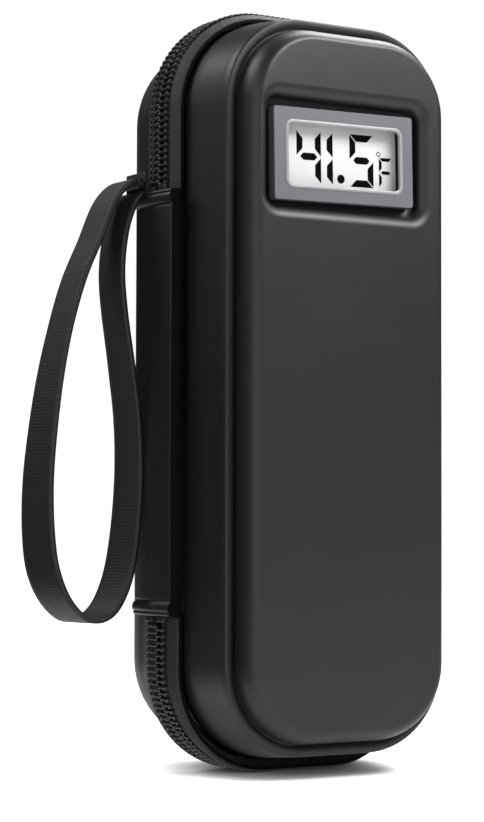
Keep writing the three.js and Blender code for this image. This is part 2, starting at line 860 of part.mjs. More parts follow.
const lowEnd = shell.inset + liningInside + shell.draft + pack.endMargin;
const frontPackTop = displayZ - wellHeight / 2 - pack.endMargin / 2;
const backPackTop = caseHeight - lowEnd;

const pocketDepth = frontWall - pack.thickness - 2 * fit;

// The lid's net pocket, stretched across the lining below the thermometer
const netPocket = () => {
  const top = frontPackTop + pocket.topMargin;
  const low = shell.inset + liningInside + shell.draft;
  const width = insideWidth - 2 * (shell.draft + fit);
  const height = top - low - fit;
  const middle = low + fit + height / 2;
  const lowRadius = cornerRadius - shell.inset - liningInside - shell.draft;
  const back = -(pocketDepth - pocket.thickness);
  const blank = plate(width, height, lowRadius, -pocketDepth, back, 0, middle, pocket.cornerSteps);
  const mouth = block([-width / 2, -pocketDepth, middle],
    [width / 2, back, top]);
  const body = join(blank, mouth);
  const holes = [];
  const spanX = width - 2 * pocket.border;
  const spanZ = height - 2 * pocket.border;
  for (let row = 0; row < pocket.rows; row += 1) {
    for (let column = 0; column < pocket.columns; column += 1) {
      const x = spanX * (column / (pocket.columns - 1) - 1 / 2);
      const z = middle + spanZ * (row / (pocket.rows - 1) - 1 / 2);
      holes.push(plate(pocket.slotWidth, pocket.slotHeight, pocket.slotWidth / 2 - fit,
        -(pocketDepth + overrun), -(pocketDepth - pocket.thickness - overrun), x, z, 1));
    }
  }
  return geometryOf(cut(body, ...holes));
};

const panelFront = backWall - pack.thickness - 2 * fit - pens.panel;

// A board that covers the back gel pack and carries the pen bands
const penPanel = () => {
  const inset = shell.inset + liningInside + shell.draft + fit;
  const ring = (y) => caseRing(y, inset);
  return geometryOf(solid(loft([ring(panelFront), ring(panelFront + pens.panel)], 0, centreZ)));
};

// An elastic band in arches, one for each pen
const penBand = (share) => {
  const span = insideWidth - 2 * (shell.draft + pens.margin);
  const pitch = (span - pens.land) / pens.count;
  const outer = (pitch - pens.land) / 2;
  const radius = outer - pens.band;
  const outline = new THREE.Shape();
  const start = -span / 2;
  const arch = (centre, size, forward) => {
    const spots = [];
    for (let step = 0; step <= pens.archSteps; step += 1) {
      const turn = Math.PI * (1 - step / pens.archSteps);
      spots.push([centre + size * Math.cos(turn), radius + size * Math.sin(turn)]);
    }
    return forward ? spots : spots.reverse();
  };
  const centres = Array.from({ length: pens.count }, (_, i) => pitch * (i - (pens.count - 1) / 2));
  outline.moveTo(start, 0);
  outline.lineTo(start, pens.band);
  for (const centre of centres) {
    outline.lineTo(centre - outer, pens.band);
    for (const [x, y] of arch(centre, outer, true)) outline.lineTo(x, y);
    outline.lineTo(centre + outer, pens.band);
  }
  outline.lineTo(-start, pens.band);
  outline.lineTo(-start, 0);
  for (const centre of [...centres].reverse()) {
    outline.lineTo(centre + radius, 0);
    for (const [x, y] of arch(centre, radius, false)) outline.lineTo(x, y);
    outline.lineTo(centre - radius, 0);
  }
  const body = new THREE.ExtrudeGeometry(outline, { depth: pens.bandHeight, bevelEnabled: false });
  body.applyMatrix4(new THREE.Matrix4().makeBasis(
    new THREE.Vector3(1, 0, 0), new THREE.Vector3(0, -1, 0), new THREE.Vector3(0, 0, -1)));
  body.translate(0, panelFront - fit, share * caseHeight + pens.bandHeight / 2);
  return geometryOf(solid(body));
};

// Assembly

const group = new THREE.Group();

const part = (parent, name, geometry, material) => {
  const mesh = new THREE.Mesh(geometry, material);
  mesh.name = name;
  parent.add(mesh);
  return mesh;
};

const whole = new THREE.Group();
group.add(whole);

const back = new THREE.Group();
part(back, 'back_shell', backShell(), moulded);
part(back, 'back_lining', backLining(), foil);
part(back, 'back_zip_tape', zipTape(1), tapeCloth);
part(back, 'back_zip_teeth', zipTeeth(1), nylon);
part(back, 'back_upper_stop', zipStop(1, 'upper'), darkMetal);
part(back, 'back_lower_stop', zipStop(1, 'lower'), darkMetal);
part(back, 'spine_back_leaf', spineLeaf(1), leatherette);
part(back, 'strap_anchor', strapAnchor(), webbing);
part(back, 'wrist_strap', wristStrap(), webbing);
part(back, 'back_gel_pack', gelPack(1, backWall, lowEnd, backPackTop), gel);
part(back, 'pen_panel', penPanel(), foil);
part(back, 'lower_pen_band', penBand(pens.lowBandShare), elastic);
part(back, 'upper_pen_band', penBand(pens.highBandShare), elastic);
whole.add(back);

const lid = new THREE.Group();
part(lid, 'front_shell', frontShell(), moulded);
part(lid, 'front_lining', frontLining(), foil);
part(lid, 'front_zip_tape', zipTape(-1), tapeCloth);
part(lid, 'front_zip_teeth', zipTeeth(-1), nylon);
part(lid, 'front_upper_stop', zipStop(-1, 'upper'), darkMetal);
part(lid, 'front_lower_stop', zipStop(-1, 'lower'), darkMetal);
part(lid, 'spine_front_leaf', spineLeaf(-1), leatherette);
part(lid, 'front_gel_pack', gelPack(-1, frontWall, lowEnd, frontPackTop), gel);
part(lid, 'net_pocket', netPocket(), elastic);
whole.add(lid);

const thermometer = new THREE.Group();
part(thermometer, 'display_bezel', displayBezel(), greyPlastic);
part(thermometer, 'display_lens', displayLens(), clear);
part(thermometer, 'lcd_panel', lcdPanel(), lcdGlass);
part(thermometer, 'lower_contact_strip', contactStrip(-1), rubber);
part(thermometer, 'upper_contact_strip', contactStrip(1), rubber);
part(thermometer, 'circuit_board', circuitBoard(), boardGreen);
part(thermometer, 'thermometer_housing', thermometerHousing(), blackPlastic);
part(thermometer, 'cell_contact', cellContacts(), steel);
part(thermometer, 'left_button_cell', buttonCell(-1), steel);
part(thermometer, 'right_button_cell', buttonCell(1), steel);
part(thermometer, 'battery_cover', batteryCover(), blackPlastic);
part(thermometer, 'unit_button', unitButton(), rubber);
part(thermometer, 'temperature_sensor', temperatureSensor(), steel);
lid.add(thermometer);

const sliders = new THREE.Group();
sliders.position.z = centreZ;
part(sliders, 'upper_slider', sliderBody(1), darkMetal);
part(sliders, 'lower_slider', sliderBody(-1), darkMetal);
part(sliders, 'upper_pull', pullTab(1), darkMetal);
part(sliders, 'lower_pull', pullTab(-1), darkMetal);
back.add(sliders);

// The origin is on the floor under the middle of the whole, strap and sliders included
const bounds = new THREE.Box3().setFromObject(whole);
const middle = bounds.getCenter(new THREE.Vector3());
whole.position.set(-middle.x, -middle.y, -bounds.min.z);

export default group;
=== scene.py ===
# Insulin cooling case, shut, with a thermometer in its lid
import json
import math
import bmesh
import bpy
from mathutils import Matrix, Vector, noise

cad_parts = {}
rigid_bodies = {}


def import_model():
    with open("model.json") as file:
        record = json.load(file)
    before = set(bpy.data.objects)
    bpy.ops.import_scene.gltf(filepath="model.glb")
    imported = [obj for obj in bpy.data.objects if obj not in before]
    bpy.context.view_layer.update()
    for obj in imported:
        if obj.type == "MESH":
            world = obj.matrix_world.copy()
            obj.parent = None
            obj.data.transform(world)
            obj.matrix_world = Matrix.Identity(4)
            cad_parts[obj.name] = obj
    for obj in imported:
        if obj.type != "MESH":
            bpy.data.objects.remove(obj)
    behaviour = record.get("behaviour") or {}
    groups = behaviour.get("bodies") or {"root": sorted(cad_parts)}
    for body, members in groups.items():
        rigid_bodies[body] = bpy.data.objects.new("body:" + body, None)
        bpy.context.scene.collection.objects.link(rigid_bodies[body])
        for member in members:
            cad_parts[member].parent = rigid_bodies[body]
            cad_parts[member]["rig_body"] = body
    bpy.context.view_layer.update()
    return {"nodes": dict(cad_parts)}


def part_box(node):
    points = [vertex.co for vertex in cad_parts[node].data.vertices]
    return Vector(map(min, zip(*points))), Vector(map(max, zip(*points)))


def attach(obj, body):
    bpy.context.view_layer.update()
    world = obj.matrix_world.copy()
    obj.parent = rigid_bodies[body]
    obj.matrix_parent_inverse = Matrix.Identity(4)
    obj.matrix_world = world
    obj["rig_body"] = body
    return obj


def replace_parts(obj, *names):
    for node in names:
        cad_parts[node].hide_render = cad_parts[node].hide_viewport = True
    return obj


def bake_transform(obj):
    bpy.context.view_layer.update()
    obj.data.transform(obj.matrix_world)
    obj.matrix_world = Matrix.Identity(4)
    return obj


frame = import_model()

across = Vector((0, 1, 0))
tiny = 1e-5

# the case's own middle, seam and size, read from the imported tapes, which lie a little below the teeth
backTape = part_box("back_zip_tape")
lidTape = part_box("front_zip_tape")
tapeFall = 0.0008
case = {
    "middle": (backTape[0].x + backTape[1].x) / 2,
    "seam": (backTape[0].y + lidTape[1].y) / 2,
    "width": backTape[1].x - backTape[0].x + 2 * tapeFall,
    "height": backTape[1].z + tapeFall,
    "corner": 0.030,
    "cornerSteps": 18,
}
leftSide = case["middle"] - case["width"] / 2
centre = Vector((case["middle"], case["seam"], case["height"] / 2))


def camel(words):
    # a node's or a slot's name, written as pieces and materials are named here
    first, *rest = words.split("_")
    return first + "".join(word.capitalize() for word in rest)


# materials

patterns = {
    "grainDetail": 4.0,
    "blotchScale": 55.0,
    "blotchDetail": 3.0,
    "fuzzScale": 2200.0,
    "fuzzDetail": 2.0,
    "fuzzShare": 0.35,
}


def addNode(tree, kind, inputs=None, **settings):
    made = tree.nodes.new(kind)
    for name, value in settings.items():
        setattr(made, name, value)
    for socket, value in (inputs or {}).items():
        if isinstance(value, bpy.types.NodeSocket):
            tree.links.new(value, made.inputs[socket])
        else:
            made.inputs[socket].default_value = value
    return made


def newGroup(name, inputs, outputs):
    tree = bpy.data.node_groups.new(name, "ShaderNodeTree")
    for socket, value in inputs.items():
        kind = "NodeSocketVector" if isinstance(value, tuple) else "NodeSocketFloat"
        made = tree.interface.new_socket(socket, in_out="INPUT", socket_type=kind)
        made.default_value = value
    for socket in outputs:
        tree.interface.new_socket(socket, in_out="OUTPUT", socket_type="NodeSocketFloat")
    return tree, tree.nodes.new("NodeGroupInput").outputs, tree.nodes.new("NodeGroupOutput")


def math2(tree, operation, first, second=0.0):
    return addNode(tree, "ShaderNodeMath", {0: first, 1: second}, operation=operation).outputs[0]


def grainGroup():
    # pebbled skin: cells with soft walls, over a finer noise
    tree, given, out = newGroup("skinGrain", {"Cell": 0.001}, ("Height", "Tone"))
    place = addNode(tree, "ShaderNodeTexCoord").outputs["Object"]
    size = math2(tree, "DIVIDE", 1.0, given["Cell"])
    cells = addNode(tree, "ShaderNodeTexVoronoi", {"Vector": place, "Scale": size},
                    feature="SMOOTH_F1")
    fine = addNode(tree, "ShaderNodeTexNoise", {"Vector": place, "Scale": size,
                                                "Detail": patterns["grainDetail"]})
    blotch = addNode(tree, "ShaderNodeTexNoise", {"Vector": place, "Scale": patterns["blotchScale"],
                                                  "Detail": patterns["blotchDetail"]})
    height = math2(tree, "ADD", cells.outputs["Distance"], fine.outputs["Fac"])
    tree.links.new(height, out.inputs["Height"])
    tree.links.new(blotch.outputs["Fac"], out.inputs["Tone"])
    return tree


def weaveGroup():
    # threads over and under each other, along the piece's own UV map in metres
    tree, given, out = newGroup("weave", {"Along": 0.0006, "Around": 0.0006}, ("Height", "Tone"))
    flat = addNode(tree, "ShaderNodeUVMap", uv_map="cloth").outputs[0]
    spot = addNode(tree, "ShaderNodeSeparateXYZ", {0: flat})
    u = math2(tree, "DIVIDE", spot.outputs["X"], given["Along"])
    v = math2(tree, "DIVIDE", spot.outputs["Y"], given["Around"])

    def thread(value):
        return math2(tree, "ABSOLUTE", math2(tree, "SINE", math2(tree, "MULTIPLY", value, math.pi)))

    turn = math2(tree, "MODULO", math2(tree, "ADD", math2(tree, "FLOOR", u), math2(tree, "FLOOR", v)), 2.0)
    turn = math2(tree, "ABSOLUTE", turn)
    over = math2(tree, "MULTIPLY", thread(u), turn)
    under = math2(tree, "MULTIPLY", thread(v), math2(tree, "SUBTRACT", 1.0, turn))
    place = addNode(tree, "ShaderNodeTexCoord").outputs["Object"]
    fuzz = addNode(tree, "ShaderNodeTexNoise", {"Vector": place, "Scale": patterns["fuzzScale"],
                                                "Detail": patterns["fuzzDetail"]})
    height = math2(tree, "ADD", math2(tree, "MAXIMUM", over, under),
                   math2(tree, "MULTIPLY", fuzz.outputs["Fac"], patterns["fuzzShare"]))
    tree.links.new(height, out.inputs["Height"])
    tree.links.new(fuzz.outputs["Fac"], out.inputs["Tone"])
    return tree


skinGrain = grainGroup()
weave = weaveGroup()


def colour(value, cool=0.0):
    # a plain number is a grey, cooler by that share of blue
    return (*value, 1) if isinstance(value, tuple) else (value, value, value * (1 + cool), 1)


def painted(slot, dark, light, rough, lift, relief, cool=0.0, cell=None, thread=None, extra=None):
    # two tones mixed by the pattern's tone, with roughness and bump from its height
    material = bpy.data.materials.new(camel(slot))
    material.use_nodes = True
    tree = material.node_tree
    shader = tree.nodes["Principled BSDF"]
    effect = addNode(tree, "ShaderNodeGroup", node_tree=weave if thread else skinGrain)
    values = dict(zip(("Along", "Around"), thread)) if thread else {"Cell": cell}
    for socket, value in values.items():
        effect.inputs[socket].default_value = value
    tone = addNode(tree, "ShaderNodeMix", {"Factor": effect.outputs["Tone"]}, data_type="RGBA")
    tone.inputs[6].default_value = colour(dark, cool)
    tone.inputs[7].default_value = colour(light, cool)
    tree.links.new(tone.outputs[2], shader.inputs["Base Color"])
    spread = addNode(tree, "ShaderNodeMapRange", {"Value": effect.outputs["Tone"],
                                                  "To Min": rough - lift, "To Max": rough + lift})
    tree.links.new(spread.outputs[0], shader.inputs["Roughness"])
    bump = addNode(tree, "ShaderNodeBump", {"Height": effect.outputs["Height"], "Distance": relief,
                                            "Strength": 1.0})
    tree.links.new(bump.outputs[0], shader.inputs["Normal"])
    for socket, value in (extra or {}).items():
        shader.inputs[socket].default_value = value
    return material


# cell is the width of a skin's pebbles, thread the pitch of a weave along and across, relief its height
finishes = {
    "moulded_shell": {"dark": 0.0065, "light": 0.009, "cool": 0.1, "rough": 0.44, "lift": 0.03,
                      "cell": 0.0007, "relief": 0.00001},
    "spine_leatherette": {"dark": 0.005, "light": 0.008, "rough": 0.45, "lift": 0.04,
                          "cell": 0.0011, "relief": 0.00002},
    "webbing": {"dark": 0.0045, "light": 0.0065, "rough": 0.5, "lift": 0.05, "thread": (0.0009, 0.0006),
                "relief": 0.00006, "extra": {"Sheen Weight": 0.03, "Sheen Roughness": 0.5}},
    "zip_cloth": {"dark": 0.005, "light": 0.009, "rough": 0.62, "lift": 0.05, "thread": (0.0005, 0.0005),
                  "relief": 0.00005, "extra": {"Sheen Weight": 0.04}},
    "zip_nylon": {"dark": 0.016, "light": 0.024, "rough": 0.3, "lift": 0.03,
                  "cell": 0.00025, "relief": 0.000004},
    "stitching": {"dark": 0.016, "light": 0.03, "rough": 0.42, "lift": 0.05,
                  "cell": 0.00025, "relief": 0.00003},
    "zip_metal": {"dark": 0.09, "light": 0.12, "cool": 0.08, "rough": 0.32, "lift": 0.05,
                  "cell": 0.00025, "relief": 0.000003, "extra": {"Metallic": 1.0}},
    "bezel_plastic": {"dark": 0.108, "light": 0.118, "cool": 0.16, "rough": 0.5, "lift": 0.03,
                      "cell": 0.00025, "relief": 0.000008},
    "housing_plastic": {"dark": 0.012, "light": 0.016, "rough": 0.45, "lift": 0.04,
                        "cell": 0.00025, "relief": 0.00001},
    "lcd_glass": {"dark": (0.74, 0.745, 0.75), "light": (0.78, 0.785, 0.79), "rough": 0.35, "lift": 0.02,
                  "cell": 0.0007, "relief": 0.000001},
    "lcd_ink": {"dark": 0.002, "light": 0.004, "rough": 0.9, "lift": 0.02,
                "cell": 0.00025, "relief": 0.000001, "extra": {"Specular IOR Level": 0.0}},
    "board_laminate": {"dark": (0.01, 0.09, 0.035), "light": (0.014, 0.12, 0.05),
                       "rough": 0.4, "lift": 0.05, "cell": 0.0007, "relief": 0.000004},
    "contact_rubber": {"dark": 0.02, "light": 0.03, "rough": 0.7, "lift": 0.05,
                       "cell": 0.00025, "relief": 0.00001},
    "button_rubber": {"dark": 0.03, "light": 0.045, "rough": 0.65, "lift": 0.05,
                      "cell": 0.00025, "relief": 0.00001},
    "contact_metal": {"dark": (0.55, 0.5, 0.38), "light": (0.6, 0.55, 0.42), "rough": 0.3, "lift": 0.05,
                      "cell": 0.00025, "relief": 0.000003, "extra": {"Metallic": 1.0}},
    "cell_steel": {"dark": 0.5, "light": 0.56, "rough": 0.28, "lift": 0.05,
                   "cell": 0.00025, "relief": 0.000002, "extra": {"Metallic": 1.0}},
    "sensor_steel": {"dark": 0.45, "light": 0.5, "rough": 0.22, "lift": 0.04,
                     "cell": 0.00025, "relief": 0.000002, "extra": {"Metallic": 1.0}},
    "foil_lining": {"dark": 0.42, "light": 0.5, "cool": 0.03, "rough": 0.34, "lift": 0.08,
                    "cell": 0.0022, "relief": 0.00025, "extra": {"Metallic": 0.85}},
    "gel_film": {"dark": (0.2, 0.42, 0.62), "light": (0.26, 0.5, 0.7), "rough": 0.22, "lift": 0.05,
                 "cell": 0.006, "relief": 0.0003, "extra": {"Coat Weight": 0.3}},
    "elastic": {"dark": 0.014, "light": 0.024, "rough": 0.8, "lift": 0.04, "thread": (0.0009, 0.0006),
                "relief": 0.00015, "extra": {"Sheen Weight": 0.2}},
    # near-black matt cloth with no shine on the turned-in edges of the zip tapes and spine: painted shade,
    # standing in for the shadow in the gutter at the seam
    "edge_binding": {"dark": 0.0015, "light": 0.0025, "rough": 0.9, "lift": 0.05,
                     "cell": 0.00025, "relief": 0.00002, "extra": {"Specular IOR Level": 0.1}},
    "window_rim": {"dark": 0.26, "light": 0.32, "rough": 0.25, "lift": 0.02,
                   "cell": 0.00025, "relief": 0.000001},
    "lens_clear": {"dark": 0.01, "light": 0.02, "rough": 0.06, "lift": 0.01,
                   "cell": 0.00025, "relief": 0.0000005, "extra": {"Alpha": 0.05}},
}
materials = {slot: painted(slot, **values) for slot, values in finishes.items()}
print("materials:", len(materials))


# making and finishing a piece

refining = {
    "flatAngle": 1,
    "keenAngle": 30,
}


def settle(name, bm, finish, body, crease=35):
    bm.normal_update()
    mesh = bpy.data.meshes.new(name)
    bm.to_mesh(mesh)
    bm.free()
    mesh.materials.append(materials[finish])
    mesh.shade_smooth()
    mesh.set_sharp_from_angle(angle=math.radians(crease))
    piece = bpy.data.objects.new(name, mesh)
    bpy.context.scene.collection.objects.link(piece)
    if body:
        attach(piece, body)
    return piece


def weighted(piece):
    made = piece.modifiers.new("flatFaces", "WEIGHTED_NORMAL")
    made.keep_sharp = True
    return piece


def walled(piece, wall, offset=-1):
    made = piece.modifiers.new("wall", "SOLIDIFY")
    made.thickness = wall
    made.offset = offset
    return piece


def refined(node, finish, edge, body="lid", segments=2, changed=None):
    # a node's own shape, joined up, with its edges rounded
    bm = bmesh.new()
    bm.from_mesh(frame["nodes"][node].data)
    bmesh.ops.remove_doubles(bm, verts=bm.verts, dist=tiny)
    flat = math.radians(refining["flatAngle"])
    bmesh.ops.dissolve_limit(bm, angle_limit=flat, verts=bm.verts, edges=bm.edges)
    if changed:
        changed(bm)
    cloth = bm.loops.layers.uv.new("cloth")
    for face in bm.faces:
        sizes = [abs(part) for part in face.normal]
        first, second = [axis for axis in range(3) if axis != sizes.index(max(sizes))]
        for loop in face.loops:
            loop[cloth].uv = (loop.vert.co[first], loop.vert.co[second])
    piece = settle(camel(node), bm, finish, body, crease=refining["keenAngle"])
    rounded = piece.modifiers.new("edges", "BEVEL")
    rounded.width = edge
    rounded.segments = segments
    rounded.limit_method = "ANGLE"
    rounded.angle_limit = math.radians(refining["keenAngle"])
    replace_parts(piece, node)
    return weighted(piece)


def outlineFace(bm, width, height, corner, depth, x=case["middle"], z=case["height"] / 2, side=-1):
    # a rounded rectangle at that depth from the seam, facing out of its own half
    made = bmesh.ops.create_grid(bm, x_segments=1, y_segments=1, size=0.5)
    verts = made["verts"]
    bmesh.ops.scale(bm, vec=(width, height, 1), verts=verts)
    bmesh.ops.rotate(bm, matrix=Matrix.Rotation(-side * math.pi / 2, 3, "X"), verts=verts)
    bmesh.ops.translate(bm, vec=(x, case["seam"] + side * depth, z), verts=verts)
    rounded = bmesh.ops.bevel(bm, geom=verts, offset=corner, offset_type="OFFSET",
                              segments=case["cornerSteps"], profile=0.5, affect="VERTICES", material=-1)
    return rounded["verts"][0].link_faces[0]


def follow(bm, face, points):
    # the face draws in and moves on through (depth, inset) points
    for (depth, inset), (nextDepth, nextInset) in zip(points, points[1:]):
        bmesh.ops.inset_region(bm, faces=[face], thickness=nextInset - inset, depth=nextDepth - depth,
                               use_even_offset=True, use_boundary=True)


def quarter(start, end, steps):
    # along a quarter ellipse, from straight on to straight across
    spots = []
    for step in range(1, steps + 1):
        angle = math.pi / 2 * step / steps
        spots.append((start[0] + (end[0] - start[0]) * math.sin(angle),
                      start[1] + (end[1] - start[1]) * (1 - math.cos(angle))))
    return spots


# moulded shells

shell = {
    "inset": 0.0034,
    "rim": 0.0054,
    "draft": 0.002,
    "backDrop": 0.016,
    "backRun": 0.011,
    "coveSteps": 7,
    "cove": 0.0013,
    "coveEnd": 0.0155,
    "crestDrop": 0.0118,
    "crestRise": 0.0042,
    "crestRun": 0.0009,
    "grooveDepth": 0.0086,
    "grooveRun": 0.0036,
    "crestSlope": 0.0011,
    "panelRun": 0.0038,
    "hollowCuts": 8,
    "sideCuts": 60,
    "endCuts": 24,
    "softMeet": 1.7,
    "wall": 0.0018,
    "arcSteps": 14,
}
lidDepth = case["seam"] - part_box("front_shell")[0].y
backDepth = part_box("back_shell")[1].y - case["seam"]


def lidFloor():
    # depth and inset of the groove's inner edge, where the panel starts to rise
    return lidDepth - shell["grooveDepth"], shell["inset"] + shell["draft"] + shell["grooveRun"]


def eased(start, leave, reach, end):
    # the slope from a crest down to the foot of a wall
    knots = (start, leave, reach, end)
    spots = []
    for step in range(1, shell["hollowCuts"]):
        t = step / shell["hollowCuts"]
        shares = ((1 - t) ** 3, 3 * t * (1 - t) ** 2, 3 * t * t * (1 - t), t ** 3)
        spots.append(tuple(sum(share * knot[axis] for share, knot in zip(shares, knots))
                           for axis in (0, 1)))
    return spots


def lidProfile():
    # a flank that swells out of the seam's shade, a crest, a hollow and the panel's rounded edge
    flank = shell["inset"] + shell["draft"]
    flankEnd = lidDepth - shell["crestDrop"]
    points = []
    for step in range(shell["coveSteps"]):
        depth = shell["rim"] + (shell["coveEnd"] - shell["rim"]) * step / shell["coveSteps"]
        straight = shell["inset"] + shell["draft"] * (depth - shell["rim"]) / (flankEnd - shell["rim"])
        points.append((depth, straight + shell["cove"] * (1 - step / shell["coveSteps"]) ** 2))
    top = (flankEnd + shell["crestRise"], flank + shell["crestRun"])
    points += quarter((flankEnd, flank), top, shell["arcSteps"])
    floor, crest = lidFloor(), points[-1]
    roll = quarter(floor, (lidDepth, floor[1] + shell["panelRun"]), shell["arcSteps"])
    slope = shell["crestSlope"]
    bends = ((crest[0], crest[1] + slope), (floor[0] + slope, floor[1] - slope))
    return points + eased(crest, *bends, floor) + [floor] + roll


def backProfile():
    flank = shell["inset"] + shell["draft"]
    flankEnd = backDepth - shell["backDrop"]
    edge = (backDepth, flank + shell["backRun"])
    points = [(shell["rim"], shell["inset"]), (flankEnd, flank)]
    return points + quarter((flankEnd, flank), edge, shell["arcSteps"])


def caseSkin(bm, profile, side):
    depth, inset = profile[0]
    width, height = case["width"] - 2 * inset, case["height"] - 2 * inset
    face = outlineFace(bm, width, height, case["corner"] - inset, depth, side=side)
    follow(bm, face, profile)
    return face


bezelLow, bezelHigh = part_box("display_bezel")
display = {
    "x": (bezelLow.x + bezelHigh.x) / 2,
    "z": (bezelLow.z + bezelHigh.z) / 2,
    "gap": 0.0022,
    "lip": 0.0035,
    "lipRun": 0.0036,
    "corner": 0.0034,
    "floorBelowBezel": 0.0003,
    "holeMargin": 0.0028,
    "reach": 0.0036,
    "lean": math.radians(1.1),
    "windowWidth": 0.037,
    "windowHeight": 0.017,
    "windowCorner": 0.0018,
    "rimOut": 0.0007,
    "rimIn": 0.00035,
    "rimProud": 0.00035,
    "rimSteps": 5,
}


def leanDisplay(bm):
    # the real one sits slightly askew in its recess
    hub = Vector((display["x"], 0, display["z"]))
    bmesh.ops.rotate(bm, verts=bm.verts, cent=hub, matrix=Matrix.Rotation(-display["lean"], 3, "Y"))


def pocketProfile():
    # rolls over the lip, drops to the floor
    floor = case["seam"] - bezelHigh.y - display["floorBelowBezel"]
    lip, run = display["lip"], display["lipRun"]
    points = [(lidDepth, 0.0)]
    for depth, inset in reversed(quarter((lidDepth - lip, run), (lidDepth, 0.0), shell["arcSteps"])[:-1]):
        points.append((depth, inset))
    points += [(lidDepth - lip, run), (floor, run), (floor, run + display["holeMargin"])]
    return points


def within(x, z, width, height, corner):
    # how far a place lies inside a rounded rectangle round the origin, negative outside it
    overX, overZ = abs(x) - width / 2 + corner, abs(z) - height / 2 + corner
    return corner - math.hypot(max(0.0, overX), max(0.0, overZ)) - min(0.0, max(overX, overZ))


def caseInset(place):
    # how far a place lies inside the case's outline
    x, z = place.x - case["middle"], place.z - case["height"] / 2
    return within(x, z, case["width"], case["height"], case["corner"])


def shapeFace(vert):
    # the pocket's mouth moves to its place, and the edge's roll and the mouth's roll flow into one another
    pocketWide = bezelHigh.x - bezelLow.x + 2 * display["gap"]
    pocketHigh = bezelHigh.z - bezelLow.z + 2 * display["gap"]
    x, z = vert.co.x - case["middle"], vert.co.z - display["z"]
    outside = -within(x, z, pocketWide, pocketHigh, display["corner"])
    near = max(0.0, min(1.0, 1 - (outside - display["lipRun"]) / display["reach"]))
    vert.co.x += (display["x"] - case["middle"]) * near * near * (3 - 2 * near)
    inset = caseInset(vert.co)
    outside = -within(vert.co.x - display["x"], z, pocketWide, pocketHigh, display["corner"])
    lip = display["lip"]
    low, start = lidFloor()
    if inset < start - tiny or outside < tiny:
        return
    rolled = max(0.0, 1 - (inset - start) / shell["panelRun"])
    rolledLip = max(0.0, 1 - outside / display["lipRun"])
    drop = (lidDepth - low) * (1 - math.sqrt(1 - min(1.0, rolled) ** 2))
    dropLip = lip * (1 - math.sqrt(1 - min(1.0, rolledLip) ** 2))
    meet = shell["softMeet"]
    vert.co.y = case["seam"] - lidDepth + (drop ** meet + dropLip ** meet) ** (1 / meet)


def frontShell():
    bm = bmesh.new()
    panel = caseSkin(bm, lidProfile(), -1)
    bmesh.ops.delete(bm, geom=[panel], context="FACES_ONLY")
    for cuts, axis in ((shell["sideCuts"], 2), (shell["endCuts"], 0)):
        straight = [edge for edge in bm.edges
                    if abs(edge.verts[0].co[axis] - edge.verts[1].co[axis]) > case["corner"] / 2]
        bmesh.ops.subdivide_edges(bm, edges=straight, cuts=cuts, use_grid_fill=True)
    outer = display["gap"] + display["lipRun"]
    mouth = outlineFace(bm, bezelHigh.x - bezelLow.x + 2 * outer, bezelHigh.z - bezelLow.z + 2 * outer,
                        display["corner"] + display["lipRun"], lidDepth, case["middle"], display["z"])
    follow(bm, mouth, pocketProfile())
    bmesh.ops.delete(bm, geom=[mouth], context="FACES_ONLY")
    faceAt = case["seam"] - lidDepth
    rim = [edge for edge in bm.edges
           if edge.is_boundary and all(abs(vert.co.y - faceAt) < tiny for vert in edge.verts)]
    bmesh.ops.triangle_fill(bm, edges=rim, use_beauty=True, normal=(0, -1, 0))
    for vert in bm.verts:
        shapeFace(vert)
    bmesh.ops.recalc_face_normals(bm, faces=bm.faces)
    piece = settle("frontShell", bm, "moulded_shell", "lid", crease=60)
    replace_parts(piece, "front_shell")
    return weighted(walled(piece, shell["wall"]))


def backShell():
    bm = bmesh.new()
    caseSkin(bm, backProfile(), 1)
    piece = settle("backShell", bm, "moulded_shell", "back", crease=60)
    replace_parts(piece, "back_shell")
    return weighted(walled(piece, shell["wall"]))


frontShell()
backShell()
print("shells done")


# the zip's way round the case, from the spine's upper end to its lower end

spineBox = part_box("spine_back_leaf")
zipWay = {
    "start": spineBox[1].z + 0.0003,
    "end": spineBox[0].z - 0.0003,
    "straightSteps": 24,
}
upperZ = case["height"] - case["corner"]
innerX = case["width"] / 2 - case["corner"]
legs = (
    (Vector((0, 0, 1)), upperZ - zipWay["start"]),
    (Vector((1, 0, 0)), 2 * innerX),
    (Vector((0, 0, -1)), upperZ - case["corner"]),
    (Vector((-1, 0, 0)), 2 * innerX),
    (Vector((0, 0, 1)), zipWay["end"] - case["corner"]),
)
bends = (
    Vector((case["middle"] - innerX, case["seam"], upperZ)),
    Vector((case["middle"] + innerX, case["seam"], upperZ)),
    Vector((case["middle"] + innerX, case["seam"], case["corner"])),
    Vector((case["middle"] - innerX, case["seam"], case["corner"])),
)
bendLength = case["corner"] * math.pi / 2
wayLength = sum(length for _, length in legs) + bendLength * len(bends)


def wayPoint(distance):
    # place, direction and outward side at a distance along the zip
    place = Vector((leftSide, case["seam"], zipWay["start"]))
    for index, (direction, length) in enumerate(legs):
        outward = direction.cross(across)
        if distance <= length or index == len(bends):
            return place + direction * distance, direction, outward
        distance -= length
        place = place + direction * length
        if distance <= bendLength:
            turn = Matrix.Rotation(distance / case["corner"], 3, "Y")
            return bends[index] + turn @ (place - bends[index]), turn @ direction, turn @ outward
        distance -= bendLength
        place = bends[index] + Matrix.Rotation(math.pi / 2, 3, "Y") @ (place - bends[index])


